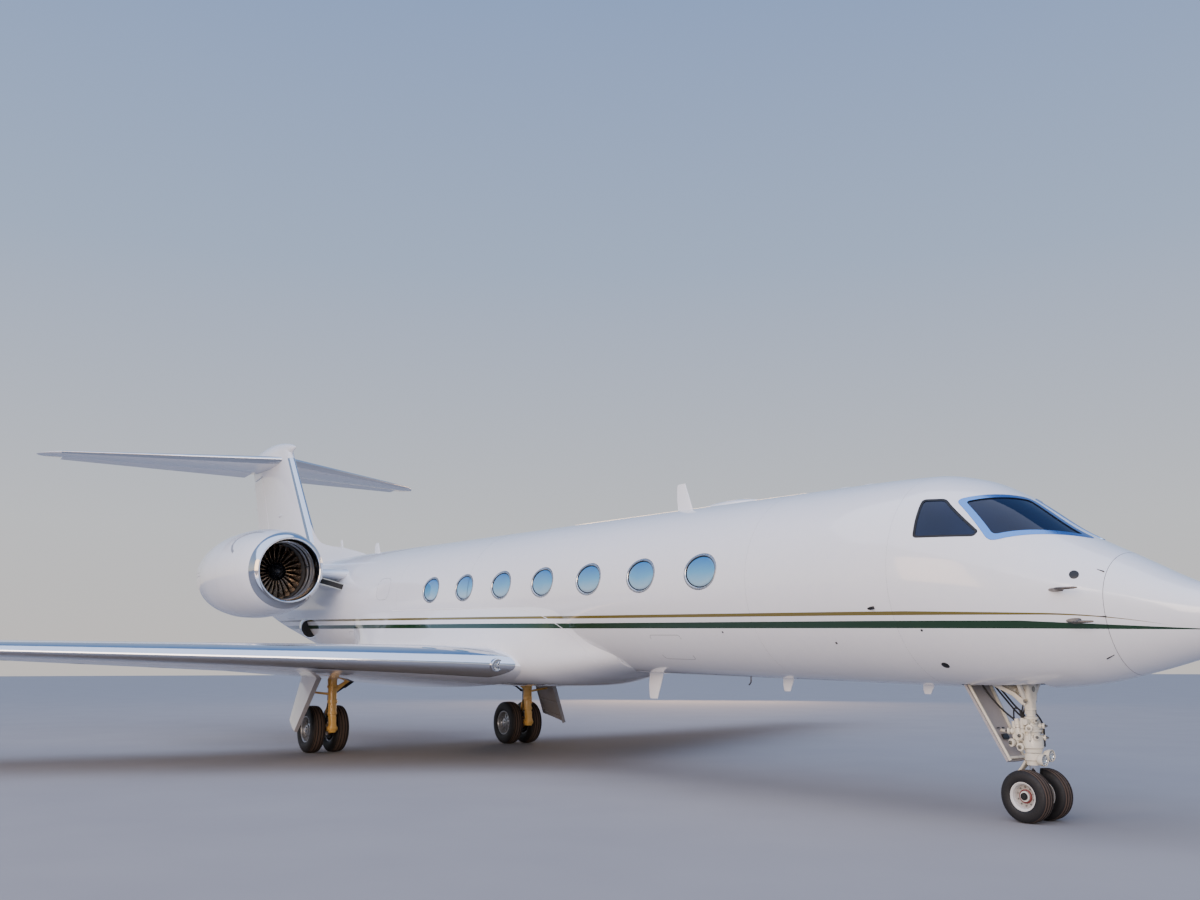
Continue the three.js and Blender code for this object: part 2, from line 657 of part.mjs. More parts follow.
// columns: height, leading edge station, chord, thickness ratio
const FIN_SECTIONS = [
  [3900, 22140, 4320, 0.109],
  [4700, 22750, 4030, 0.109],
  [7300, 24740, 3210, 0.109],
  [7560, 24940, 3160, 0.13],
];
const BULLET = { front: 24560, rear: 28420, height: 7560, halfWidth: 190, halfHeight: 310 };
// columns: station, ridge height, half width at the foot
const DORSAL = [
  [19400, 4150, 20],
  [20870, 4443, 45],
  [22380, 4705, 90],
  [22720, 4880, 100],
  [23240, 5320, 110],
];
const RUDDER = { bottom: 4430, top: 7010, bottomHinge: 25500, topHinge: 26900 };
// columns: y, leading edge station, chord, height, thickness ratio
const TAILPLANE_SECTIONS = [
  [0, 25060, 3000, 7290, 0.1],
  [5200, 28290, 1060, 7440, 0.09],
  [5450, 28570, 820, 7447, 0.07],
  [5620, 28830, 500, 7452, 0.06],
  [5720, 29060, 130, 7455, 0.06],
];
const ELEVATOR = { rootY: 225, tipY: 5080, rootHinge: 27335, tipHinge: 28980 };
// The unpowered elevators of a parked jet hang trailing edge down, in degrees.
const ELEVATOR_DROOP = 9;

function bullet() {
  const { front, rear, height, halfWidth, halfHeight } = BULLET;
  const steps = [0.02, 0.12, 0.45, 0.7, 0.98];
  return loft(steps.map((t) => {
    const size = Math.sin(Math.PI * Math.min(1, t < 0.45 ? t / 0.9 : 0.5 + (t - 0.45) / 1.15)) ** 0.75;
    return Array.from({ length: 12 }, (_, i) => {
      const angle = i * Math.PI / 6;
      return [
        at(lerp(front, rear, t)),
        halfWidth * size * Math.cos(angle),
        height + halfHeight * size * Math.sin(angle),
      ];
    });
  }));
}

const finLoft = loft(FIN_SECTIONS.map(([height, edge, chord, thickness]) => (
  aerofoil([at(edge), 0, height], chord, thickness, 0, [0, 1, 0])
)));
const dorsal = loft(DORSAL.map(([station, height, half]) => [
  [at(station), half, axisZ(station) + 900],
  [at(station), 0, height],
  [at(station), -half, axisZ(station) + 900],
]));

const finChordHalf = (height, station) => {
  const [low, high] = [FIN_SECTIONS[1], FIN_SECTIONS[2]];
  const share = (height - low[0]) / (high[0] - low[0]);
  const [, edge, chord, thickness] = low.map((v, k) => lerp(v, high[k], share));
  return halfThickness((station - edge) / chord) * thickness * chord;
};
const rudderLine = [[RUDDER.bottom, RUDDER.bottomHinge], [RUDDER.top, RUDDER.topHinge]];
const rudderEnds = rudderLine.map(([z, station]) => (
  { point: [at(station), 0, z], half: finChordHalf(z, station) }
));
const rudder = roundNosed(finLoft, rudderEnds, [0, 1, 0], { skew: [0.54, 0.5], margin: 36, endMargin: 50 });

const tailplaneRing = ([y, edge, chord, height, thickness], side) => (
  aerofoil([at(edge), side * y, height], chord, thickness, 0, [0, 0, 1])
);
const tailplaneLoft = loft([
  ...TAILPLANE_SECTIONS.slice(1).reverse().map((row) => tailplaneRing(row, -1)),
  ...TAILPLANE_SECTIONS.map((row) => tailplaneRing(row, 1)),
]);
const elevatorLine = [[ELEVATOR.rootY, ELEVATOR.rootHinge], [ELEVATOR.tipY, ELEVATOR.tipHinge]];
const elevatorEnds = elevatorLine.map(([y, station]) => {
  const [low, high] = TAILPLANE_SECTIONS;
  const share = (y - low[0]) / (high[0] - low[0]);
  const [, edge, chord, height, thickness] = low.map((v, k) => lerp(v, high[k], share));
  const half = halfThickness((station - edge) / chord) * thickness * chord;
  return { point: [at(station), y, height], half };
});

// A solid turned about the line through two points.
function turnedAbout(shape, from, to, angle) {
  const start = new THREE.Vector3(...from);
  const axis = new THREE.Vector3(...to).sub(start).normalize();
  const turn = new THREE.Matrix4().makeTranslation(start.x, start.y, start.z)
    .multiply(new THREE.Matrix4().makeRotationAxis(axis, radians(angle)))
    .multiply(new THREE.Matrix4().makeTranslation(-start.x, -start.y, -start.z));
  return solid(geometryOf(shape).applyMatrix4(turn));
}

const elevator = roundNosed(tailplaneLoft, elevatorEnds, UP, { skew: [0.339, 0.3], margin: 20 });
const elevatorHoles = [elevator.hole, solid(mirrored(geometryOf(elevator.hole)))];
const elevatorPoints = elevatorEnds.map((end) => end.point);
const elevatorHinge = hingePins(...elevatorPoints, 12, [20, 20]);
const elevatorPins = [elevatorHinge.pins, solid(mirrored(geometryOf(elevatorHinge.pins)))];
const tailplane = join(cut(tailplaneLoft, ...elevatorHoles), ...elevatorPins);

const rudderHinge = hingePins(...rudderEnds.map((end) => end.point), 14, [36, 50]);
const finBody = join(cut(join(finLoft, dorsal, bullet()), outerSkinProud, rudder.hole), rudderHinge.pins);
const slotShifts = [[0, 0, 0], [0, 0, 1], [0, 0, -1], [1.5, 0, 0], [-1.5, 0, 0]];
const tailplaneSlot = slotShifts.map((way) => tailplaneLoft.translate(way.map((v) => v * SEAT_GAP)));
add("fin", cut(finBody, ...tailplaneSlot), "white_paint");
add("rudder", cut(rudder.surface, rudderHinge.bores), "white_paint");
add("tailplane", tailplane, "white_paint");
const elevatorSolid = cut(elevator.surface, elevatorHinge.bores);
addPair("elevator", turnedAbout(elevatorSolid, ...elevatorPoints, -ELEVATOR_DROOP), "white_paint");

// Engine pods

const NACELLE_SEGMENTS = 24;
// columns: station, outer radius
const NACELLE_OUTER = [
  [17870, 665], [17930, 727], [18120, 798], [18500, 876], [19100, 940], [19800, 965], [20500, 950],
  [21100, 897], [21800, 780], [22450, 560],
];
const DUCT_RADIUS = 615;
const CORE = { front: 18980, rear: 21300, radius: DUCT_RADIUS - SEAT_GAP };
const REVERSER = { front: 21108, rear: 22450, wall: 50, split: 41, beam: 35 };
const NOZZLE = { front: 21300, rear: 22500, outer: 455, inner: 425 };

const podZ = (station) => axisZ(station) + NACELLE.rel;
const podAxis = new THREE.Vector3(-1, 0, AXIS_RISE).normalize().toArray();
const podOrigin = [at(NACELLE.middle), NACELLE.y, podZ(NACELLE.middle)];

// A pod piece turned about the engine's axis; the profile is [station, radius].
function podTurned(profile, segments = NACELLE_SEGMENTS) {
  return turned(profile.map(([s, r]) => [s - NACELLE.middle, r]), podOrigin, podAxis, segments);
}

// A point given by its station and its offsets from the engine's axis.
function podPoint(station, y, z) {
  const point = new THREE.Vector3(...podOrigin).add(new THREE.Vector3(0, y, 0));
  point.addScaledVector(new THREE.Vector3(...podAxis), station - NACELLE.middle);
  return point.addScaledVector(new THREE.Vector3(AXIS_RISE, 0, 1).normalize(), z).toArray();
}

// A block square to the engine's axis.
function podBlock([front, rear], [innerY, outerY], [low, high]) {
  const ring = (station) => [[innerY, low], [outerY, low], [outerY, high], [innerY, high]].map(([y, z]) => (
    podPoint(station, y, z)
  ));
  return loft([ring(front), ring(rear)]);
}

function podOuter(front, rear, inset = 0) {
  const radiusAt = (station) => {
    const next = Math.max(1, NACELLE_OUTER.findIndex((row) => row[0] >= station));
    const [low, high] = [NACELLE_OUTER[next - 1], NACELLE_OUTER[next]];
    return lerp(low[1], high[1], (station - low[0]) / (high[0] - low[0])) - inset;
  };
  const between = NACELLE_OUTER.map((row) => row[0]).filter((s) => s > front + 1 && s < rear - 1);
  return [front, ...between, rear].map((s) => [s, radiusAt(s)]);
}

const podFilled = (front, rear, inset) => (
  podTurned([[front, 0], ...podOuter(front, rear, inset), [rear, 0]])
);

const lipProfile = [
  ...podOuter(NACELLE.lip, NACELLE.cowlFront - SEAT_GAP),
  [NACELLE.cowlFront - SEAT_GAP, 602], [18000, 606], [17920, 625],
];
addPair("inlet_lip", podTurned(lipProfile), "polished_metal");

const cowlProfile = [
  ...podOuter(NACELLE.cowlFront, NACELLE.cowlRear),
  [NACELLE.cowlRear, DUCT_RADIUS], [18420, DUCT_RADIUS], [NACELLE.cowlFront, 602],
];
const podTail = cut(
  podFilled(NACELLE.cowlRear - 20, REVERSER.rear, 0),
  podFilled(NACELLE.cowlRear - 30, REVERSER.rear + 4, REVERSER.wall),
);
const beamStations = [NACELLE.cowlRear - 30, REVERSER.rear];
const beamSlab = podBlock(beamStations, [-1500, 1500], [-REVERSER.beam, REVERSER.beam]);
const pivots = [1, -1].flatMap((side) => [
  bar(podPoint(REVERSER.rear, side * 512, 0), podPoint(REVERSER.rear, side * 556, 0), 30, 30, 8),
  pin(podPoint(REVERSER.rear, side * 530, 0), podPoint(REVERSER.rear, side * 461, 0), 12),
]);
const sideBeams = join(common(podTail, beamSlab), ...pivots);
const nozzle = podTurned([
  [NOZZLE.front, NOZZLE.outer], [NOZZLE.rear, NOZZLE.outer], [NOZZLE.rear, NOZZLE.inner],
  [NOZZLE.front, NOZZLE.inner],
]);
addPair("nacelle", join(podTurned(cowlProfile), sideBeams), "white_paint");

const coreProfile = [[CORE.front, 0], [CORE.front, CORE.radius], [CORE.rear, CORE.radius], [CORE.rear, 0]];
const shaft = pin(podPoint(CORE.front + 20, 0, 0), podPoint(CORE.front - 50, 0, 0), 60, 8);
const core = join(podTurned(coreProfile), nozzle.translate([-podAxis[0] * 2, 0, 0]), shaft);
addPair("engine_core", core, "hot_metal");

// A lug inside the door's edge that hangs on the pivot pin.
function doorLug(side, up, inner, outer, height) {
  const rear = REVERSER.rear;
  const ring = (y) => [[-2, 0], [-24, 0], [-60, height], [-20, height]].map(([s, z]) => (
    podPoint(rear + s, side * y, up * z)
  ));
  const web = loft([ring(inner), ring(outer)]);
  const eye = bar(podPoint(rear, side * inner, 0), podPoint(rear, side * outer, 0), 24, 24, 8);
  return join(web, eye);
}

// columns: name, side of the split, inner and outer face of the lugs, reach of the lugs
const REVERSER_DOORS = [
  ["upper", 1, 483, 503, 118],
  ["lower", -1, 461, 477, 205],
];
REVERSER_DOORS.forEach(([place, up, inner, outer, height]) => {
  const heights = up > 0 ? [REVERSER.split, 1500] : [-1500, -REVERSER.split];
  const half = podBlock([REVERSER.front, REVERSER.rear], [-1500, 1500], heights);
  const lugs = [1, -1].map((side) => doorLug(side, up, inner, outer, height));
  const bores = [1, -1].map((side) => (
    bore(podPoint(REVERSER.rear, side * 540, 0), podPoint(REVERSER.rear, side * 440, 0), 12)
  ));
  addPair(`reverser_${place}`, cut(join(common(podTail, half), ...lugs), ...bores), "white_paint");
});

function fanBody() {
  const { station, radius, hub, blades } = FAN;
  const rear = CORE.front - 8;
  const spinner = [[station - 230, 0], [station - 185, 70], [station - 40, hub], [rear, hub], [rear, 0]];
  const body = podTurned(spinner, 16);
  const centre = new THREE.Vector3(at(station + 50), NACELLE.y, podZ(station + 50));
  const axis = new THREE.Vector3(...podAxis);
  const bladeSolids = Array.from({ length: blades }, (_, i) => {
    const angle = i * 2 * Math.PI / blades;
    const radial = new THREE.Vector3(0, Math.cos(angle), Math.sin(angle));
    radial.addScaledVector(axis, -radial.dot(axis)).normalize();
    const around = new THREE.Vector3().crossVectors(axis, radial);
    // columns: radius, half chord, stagger in degrees, half thickness
    const rows = [[hub - 30, 66, 30, 9], [radius, 90, 60, 4]];
    return loft(rows.map(([r, chord, stagger, half]) => {
      const lean = radians(stagger);
      const chordWay = axis.clone().multiplyScalar(Math.cos(lean)).addScaledVector(around, Math.sin(lean));
      const thickWay = new THREE.Vector3().crossVectors(chordWay, radial);
      const corner = (c, t) => centre.clone().addScaledVector(radial, r)
        .addScaledVector(chordWay, c).addScaledVector(thickWay, t).toArray();
      return [corner(-chord, 0), corner(0, half), corner(chord, 0), corner(0, -half)];
    }));
  });
  const shaftBore = bore(podPoint(rear + 5, 0, 0), podPoint(CORE.front - 58, 0, 0), 60, 8);
  return cut(join(body, ...bladeSolids), shaftBore);
}
addPair("fan", fanBody(), "fan_metal");

// Pylon between the fuselage side and the pod
const PYLON = { innerY: 850, outerY: 1900, front: 18300, rear: 21000, rel: 640, thickness: 0.11 };
const pylonRing = (y, front) => (
  aerofoil([at(front), y, axisZ(front) + PYLON.rel], PYLON.rear - front, PYLON.thickness, -1.5, UP)
);
const pylonLoft = loft([
  pylonRing(PYLON.innerY, PYLON.front - 120),
  pylonRing(PYLON.outerY, PYLON.front + 260),
]);
const podSpace = join(
  podFilled(NACELLE.lip, NACELLE.cowlRear, -SEAT_GAP),
  podFilled(NACELLE.cowlRear - 1, REVERSER.rear, -12),
);
addPair("pylon", cut(pylonLoft, podSpace, outerSkinProud), "white_paint");

// Wheels and tyres

// A tyre section as [across, radius] from bead to bead.
function tyreProfile(radius, width, rim) {
  const half = width / 2;
  const wallHeight = radius - rim;
  const points = [
    [-half * 0.78, rim], [-half, rim + wallHeight * 0.45], [-half * 0.88, rim + wallHeight * 0.82],
    [-half * 0.5, radius], [half * 0.5, radius], [half * 0.88, rim + wallHeight * 0.82],
    [half, rim + wallHeight * 0.45], [half * 0.78, rim],
  ];
  return points;
}

function wheelPair(gear, y, names) {
  const { station, spacing, tyreRadius, tyreWidth, rimRadius, axleRadius, axleReach } = gear;
  const origin = (side) => [at(station), y + side * spacing, tyreRadius];
  const rimHalf = tyreWidth * 0.39;
  const rim = (side) => {
    const dish = side * rimHalf;
    const profile = [
      [-rimHalf, 0], [-rimHalf, rimRadius - SEAT_GAP], [rimHalf, rimRadius - SEAT_GAP],
      [rimHalf, rimRadius * 0.84], [rimHalf * 0.35, rimRadius * 0.42], [rimHalf * 0.9, rimRadius * 0.36],
      [rimHalf * 0.9, 0],
    ];
    return turned(profile, origin(side), [0, Math.sign(dish), 0], 24);
  };
  const axle = bar(
    [at(station), y - spacing - axleReach, tyreRadius],
    [at(station), y + spacing + axleReach, tyreRadius], axleRadius, axleRadius, 12,
  );
  add(names.wheels, join(rim(1), rim(-1), axle), "wheel_metal");
  names.tyres.forEach(([name, side]) => {
    const profile = tyreProfile(tyreRadius, tyreWidth, rimRadius);
    add(name, turned(profile, origin(side), [0, 1, 0], 24), "tyre_rubber");
  });
}

const noseWheels = { ...NOSE_GEAR, axleRadius: 32, axleReach: 40 };
wheelPair(noseWheels, 0, {
  wheels: "nose_wheels",
  tyres: [["nose_tyre_left", 1], ["nose_tyre_right", -1]],
});
const mainWheels = { ...MAIN_GEAR, axleRadius: 45, axleReach: 60 };
wheelPair(mainWheels, MAIN_GEAR.y, {
  wheels: "main_wheels_left",
  tyres: [["main_tyre_left_outer", 1], ["main_tyre_left_inner", -1]],
});
wheelPair(mainWheels, -MAIN_GEAR.y, {
  wheels: "main_wheels_right",
  tyres: [["main_tyre_right_inner", 1], ["main_tyre_right_outer", -1]],
});

// Nose gear: the fixed upper leg with its braces, and the fork that steers
const NOSE_LEG = { splitZ: 690, topZ: 1800, radius: 75, pistonRadius: 52 };
const noseX = at(NOSE_GEAR.station);
const noseLeg = join(
  bar([noseX, 0, NOSE_LEG.splitZ], [noseX, 0, NOSE_LEG.topZ], NOSE_LEG.radius, NOSE_LEG.radius, 16),
  common(bar([noseX, -600, 1500], [noseX, 600, 1500], 45), innerSkin),
  bar([noseX, 50, 1210], [noseX, 215, 1500], 30),
  bar([noseX, -50, 1210], [noseX, -215, 1500], 30),
  bar([noseX, -120, 1000], [noseX, 120, 1000], 32),
  bar([noseX, 0, 1190], [at(3120), 0, 1500], 38),
  bar([noseX, 60, 1270], [at(3060), 60, 1430], 45),
  box([noseX - 190, -120, 780], [noseX - 40, 120, 960]),
);
const steeringBore = bore([noseX, 0, NOSE_LEG.splitZ - 10], [noseX, 0, NOSE_LEG.splitZ + 76], 40, 8);
add("nose_leg", cut(noseLeg, steeringBore), "gear_paint");

const noseFork = join(
  pin([noseX, 0, NOSE_LEG.splitZ - 30], [noseX, 0, NOSE_LEG.splitZ + 70], 40, 8),
  bar(
    [noseX, 0, NOSE_GEAR.tyreRadius - 40], [noseX, 0, NOSE_LEG.splitZ - 6],
    NOSE_LEG.pistonRadius, NOSE_LEG.pistonRadius, 12,
  ),
  bar([noseX, 0, 560], [noseX, 0, NOSE_LEG.splitZ - 6], 92, 92, 12),
  bar([noseX, -75, NOSE_GEAR.tyreRadius], [noseX, 75, NOSE_GEAR.tyreRadius], 60, 60, 12),
  bar([noseX - 60, 0, 600], [noseX - 190, 0, 470], 28),
  bar([noseX - 190, 0, 480], [noseX - 30, 0, 300], 28),
  bar([noseX + 86, -64, 622], [noseX + 168, -64, 624], 60, 60, 12),
  bar([noseX + 86, 64, 662], [noseX + 168, 64, 664], 60, 60, 12),
  bar([noseX, 0, 630], [noseX + 120, 0, 630], 34, 34, 8),
);
const noseAxleEnds = [-400, 400].map((y) => [noseX, y, NOSE_GEAR.tyreRadius]);
const noseAxleBore = bore(...noseAxleEnds, noseWheels.axleRadius, 12);
add("nose_fork", cut(noseFork, noseAxleBore), "gear_paint");

const noseDoor = loft([
  [[at(3229.7), 240, 1400], [at(3229.7), -240, 1400], [at(3200), -240, 1400], [at(3200), 240, 1400]],
  [[at(2800), 170, 590], [at(2800), -170, 590], [at(2770), -170, 590], [at(2770), 170, 590]],
]);
const noseDoorLink = bar([noseX - 180, 0, 870], [at(2935), 0, 900], 20);
add("nose_gear_door", seat(join(noseDoor, noseDoorLink), noseLeg, [1, 0, 0]), "gear_paint");

// Main gear legs with their outboard doors
const mainX = at(MAIN_GEAR.station);
const mainY = MAIN_GEAR.y;
const axleZ = MAIN_GEAR.tyreRadius;
// The leg stands ahead of the axle; an arm trails back between the wheels, under its damper.
const mainLeg = join(
  bar([mainX + 425, mainY, 620], [mainX + 330, mainY, 1560], 88, 96, 16),
  bar([mainX + 442, mainY, 410], [mainX + 425, mainY, 640], 76, 76, 16),
  bar([mainX + 442, mainY, 470], [mainX, mainY, axleZ], 66, 66, 12),
  bar([mainX, mainY - 88, axleZ], [mainX, mainY + 88, axleZ], 85, 85, 16),
  bar([mainX + 70, mainY, 470], [mainX + 360, mainY, 1130], 42, 42, 8),
  bar([mainX + 368, mainY - 40, 1180], [mainX + 340, mainY - 470, 1440], 36, 36, 10),
  bar([mainX + 378, mainY, 1080], [mainX + 330, mainY + 560, 1150], 26, 26, 8),
);
// The door hangs from the wing and leans out; its corners are [station, y, height].
const GEAR_DOOR = [[15640, 2600, 1500], [16420, 2610, 1500], [16330, 2860, 620], [15700, 3000, 440]];
const doorCorners = GEAR_DOOR.map(([s, y, z]) => [at(s), y, z]);
const doorPlate = plate(doorCorners, [0, 28, 8]);
const flangeCorners = [[0, 8], [0, -110], [3, -70], [3, 8]].map(([k, shift]) => (
  [doorCorners[k][0], doorCorners[k][1] + shift, doorCorners[k][2]]
));
const doorWeb = plate(flangeCorners, [-36, 0, 0]);
const mainAxleBore = bore([mainX, 0, axleZ], [mainX, 4000, axleZ], mainWheels.axleRadius, 12);
const legBody = cut(join(mainLeg, doorPlate, doorWeb), mainAxleBore);
const wingUnderside = cut(wholeWing, flapHole);
addPair("main_leg", seat(seat(legBody, wingUnderside, [0, 0, -1]), fairingProud, [0, 0, -1]), "gear_paint");

export default group;
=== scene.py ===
import math
import bmesh
import bpy
import numpy as np
from mathutils import Matrix, Vector
from mathutils.bvhtree import BVHTree
from mathutils.interpolate import poly_3d_calc


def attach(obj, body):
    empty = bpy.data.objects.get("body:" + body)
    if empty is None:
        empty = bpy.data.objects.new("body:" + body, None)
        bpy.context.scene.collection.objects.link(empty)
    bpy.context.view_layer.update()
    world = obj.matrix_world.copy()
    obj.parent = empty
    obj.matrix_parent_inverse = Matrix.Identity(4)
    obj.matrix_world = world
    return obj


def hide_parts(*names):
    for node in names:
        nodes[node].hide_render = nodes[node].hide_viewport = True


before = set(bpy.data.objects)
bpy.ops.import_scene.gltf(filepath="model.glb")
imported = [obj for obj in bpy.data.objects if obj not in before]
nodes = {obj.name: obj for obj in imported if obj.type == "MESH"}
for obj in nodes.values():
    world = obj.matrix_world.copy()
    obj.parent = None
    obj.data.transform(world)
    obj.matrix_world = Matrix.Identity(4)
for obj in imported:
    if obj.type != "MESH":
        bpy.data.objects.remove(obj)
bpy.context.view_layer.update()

# The jet is 29.39 m long. +X is forward, +Y port, +Z up, and the origin is on the ground.
# A station is a distance aft of the nose tip; a rel height is measured from the fuselage
# axis, which rises aft because the parked jet sits slightly nose-down.
LENGTH = 29.39
AXIS_AT_NOSE, AXIS_RISE = 2.456, 0.02625


def at(station):
    return LENGTH / 2 - station


def axis_z(station):
    return AXIS_AT_NOSE + AXIS_RISE * station


# Camera
# It stands ahead of the starboard nose at a person's eye height and looks aft and up.
# The lens is the photograph's: 33 mm on a 36 mm wide frame.
camera_data = bpy.data.cameras.new("camera")
camera_data.sensor_width = 36.0
camera_data.lens = 32.966
camera_data.clip_end = 900.0
camera = bpy.data.objects.new("camera", camera_data)
bpy.context.scene.collection.objects.link(camera)
bpy.context.scene.camera = camera
yaw, pitch, roll = math.radians(35.889), math.radians(11.281), math.radians(-0.08)
look = Vector((-math.cos(yaw) * math.cos(pitch), math.sin(yaw) * math.cos(pitch), math.sin(pitch)))
level = look.cross(Vector((0, 0, 1))).normalized()
right = level * math.cos(roll) + level.cross(look) * math.sin(roll)
camera.matrix_world = Matrix.Translation((19.0605, -10.6023, 1.5462)) @ Matrix(
    (right, right.cross(look), -look)).transposed().to_4x4()


# Studio floor and light
# A plain pale floor under a soft cool ceiling light, with a low warm light from the side.
def node(tree, kind, inputs=None, **settings):
    """Adds one shader or geometry node with its settings, values and links."""
    added = tree.nodes.new(kind)
    for name, value in settings.items():
        setattr(added, name, value)
    for key, value in (inputs or {}).items():
        socket = added.inputs[key]
        if isinstance(value, bpy.types.NodeSocket):
            tree.links.new(value, socket)
        else:
            socket.default_value = value
    return added


def linear(hex_colour):
    """An sRGB hex colour as linear red, green, blue and alpha."""
    channels = [int(hex_colour[i:i + 2], 16) / 255 for i in (1, 3, 5)]
    return [c / 12.92 if c <= 0.04045 else ((c + 0.055) / 1.055) ** 2.4 for c in channels] + [1.0]


def made(name, points, faces):
    """A mesh object at the origin."""
    mesh = bpy.data.meshes.new(name)
    mesh.from_pydata([tuple(p) for p in points], [], faces)
    mesh.update()
    piece = bpy.data.objects.new(name, mesh)
    bpy.context.scene.collection.objects.link(piece)
    return piece


floor = made("floor", [(-300, -300, 0), (300, -300, 0), (300, 300, 0), (-300, 300, 0)], [(0, 1, 2, 3)])
floor_paint = bpy.data.materials.new("studio_floor_paint")
floor_paint.use_nodes = True
tree = floor_paint.node_tree
floor_grain = node(tree, "ShaderNodeTexNoise", {"Scale": 0.6, "Detail": 3.0, "Vector": node(
    tree, "ShaderNodeTexCoord").outputs["Object"]})
floor_tone = node(tree, "ShaderNodeMix", {
    "Factor": floor_grain.outputs["Fac"], "A": linear("#918f91"), "B": linear("#9b999a")}, data_type="RGBA")
tree.links.new(floor_tone.outputs["Result"], tree.nodes["Principled BSDF"].inputs["Base Color"])
tree.nodes["Principled BSDF"].inputs["Roughness"].default_value = 0.95
tree.nodes["Principled BSDF"].inputs["Specular IOR Level"].default_value = 0.1
floor.data.materials.append(floor_paint)

world = bpy.data.worlds.new("studio")
bpy.context.scene.world = world
world.use_nodes = True
tree = world.node_tree
sky_way = node(tree, "ShaderNodeSeparateXYZ", {"Vector": node(
    tree, "ShaderNodeTexCoord").outputs["Generated"]})
sky = node(tree, "ShaderNodeValToRGB", {"Fac": sky_way.outputs["Z"]})
sky.color_ramp.elements[0].position = 0.0
sky.color_ramp.elements[0].color = linear("#f2ebe6")
sky.color_ramp.elements[1].position = 0.75
sky.color_ramp.elements[1].color = linear("#7aa5e8")
for position, tone in ((0.12, "#eceef2"), (0.35, "#bcd0f2")):
    sky.color_ramp.elements.new(position).color = linear(tone)
tree.links.new(sky.outputs["Color"], tree.nodes["Background"].inputs["Color"])
tree.nodes["Background"].inputs["Strength"].default_value = 0.85

# columns: name, kind, place, aim, size in metres or radians, power, colour
LIGHTS = [
    ("ceiling_light", "SUN", (2, -8, 22), (0, 0, 2), 1.6, 2.3, "#e6ecff"),
    ("side_light", "AREA", (34, -46, 15), (0, 0, 2), 28, 19000, "#ffe6d2"),
    ("gear_light", "AREA", (2, -34, 9), (-2, 0, 2.0), 14, 2600, "#ffcf96"),
    ("low_light", "AREA", (-24, 26, 7), (-2, 0, 2), 12, 2200, "#ffd2a0"),
]
for name, kind, place, aim, size, power, tone in LIGHTS:
    data = bpy.data.lights.new(name, kind)
    setattr(data, "angle" if kind == "SUN" else "size", size)
    data.energy, data.color = power, linear(tone)[:3]
    light = bpy.data.objects.new(name, data)
    light.location = place
    light.rotation_euler = (Vector(aim) - Vector(place)).to_track_quat("-Z", "Y").to_euler()
    bpy.context.scene.collection.objects.link(light)


# Fuselage skin
# Riveted aluminium barrels and a glass-fibre radome under one white gloss topcoat. The
# sections are two half ellipses; their sizes follow smooth curves through the table.
# columns: station, half width, height of the widest point, crown, keel (rel heights)
FUSELAGE = [
    (0, 0.004, -0.486, -0.482, -0.490),
    (0.09, 0.125, -0.480, -0.375, -0.590),
    (0.32, 0.265, -0.455, -0.262, -0.700),
    (0.72, 0.425, -0.400, -0.130, -0.830),
    (1.33, 0.610, -0.310, 0.175, -1.010),
    (1.80, 0.765, -0.230, 0.415, -1.115),
    (2.48, 0.975, -0.110, 0.880, -1.180),
    (2.90, 1.070, -0.050, 1.075, -1.195),
    (3.45, 1.145, 0.0, 1.178, -1.195),
    (4.25, 1.195, 0.0, 1.195, -1.195),
    (18.60, 1.195, 0.0, 1.195, -1.195),
    (20.00, 1.150, 0.015, 1.185, -1.125),
    (21.20, 1.060, 0.050, 1.165, -0.960),
    (22.40, 0.930, 0.110, 1.130, -0.735),
    (23.60, 0.770, 0.190, 1.080, -0.515),
    (24.80, 0.590, 0.300, 1.010, -0.255),
    (26.00, 0.400, 0.430, 0.920, 0.010),
    (27.00, 0.230, 0.530, 0.790, 0.250),
    (27.45, 0.110, 0.560, 0.670, 0.450),
]
WALL = 0.07
ROUND = 96
CABIN_RADIUS = 1.195
TAIL_END = 27.45


def smooth_columns(rows, warp=lambda v: v):
    """Monotone cubic curves through the columns of a table, as one function of the first."""
    table = np.array(rows, float)
    places = np.array([warp(v) for v in table[:, 0]])
    spans = np.diff(places)

    def curve(values):
        slopes = np.diff(values) / spans
        bends = np.zeros(len(values))
        bends[0], bends[-1] = slopes[0], slopes[-1]
        for i in range(1, len(values) - 1):
            if slopes[i - 1] * slopes[i] > 0:
                near, far = 2 * spans[i] + spans[i - 1], spans[i] + 2 * spans[i - 1]
                bends[i] = (near + far) / (near / slopes[i - 1] + far / slopes[i])

        def value(place):
            i = int(np.clip(np.searchsorted(places, place) - 1, 0, len(spans) - 1))
            h, t = spans[i], (place - places[i]) / spans[i]
            return (values[i] * (1 + 2 * t) * (1 - t) ** 2 + bends[i] * h * t * (1 - t) ** 2
                    + values[i + 1] * t * t * (3 - 2 * t) + bends[i + 1] * h * t * t * (t - 1))
        return value

    curves = [curve(table[:, k]) for k in range(1, table.shape[1])]
    return lambda place: [c(warp(place)) for c in curves]


fuselage_sizes = smooth_columns(FUSELAGE, math.sqrt)
fuselage_stations = np.unique(np.round(np.concatenate([
    np.linspace(0, 1, 13) ** 2 * 1.33, np.arange(1.33, 4.3, 0.09), np.arange(4.35, 18.6, 0.95),
    np.arange(18.6, 27.4, 0.2), [TAIL_END]]), 4))


def fuselage_ring(station, inset=0.0):
    half_width, middle, crown, keel = fuselage_sizes(station)
    ring = []
    for i in range(ROUND):
        angle = 2 * math.pi * i / ROUND
        half = (crown - middle if math.sin(angle) > 0 else middle - keel) - inset
        ring.append((at(station), math.cos(angle) * max(half_width - inset, 0.002),
                     axis_z(station) + middle + math.sin(angle) * max(half, 0.002)))
    return ring


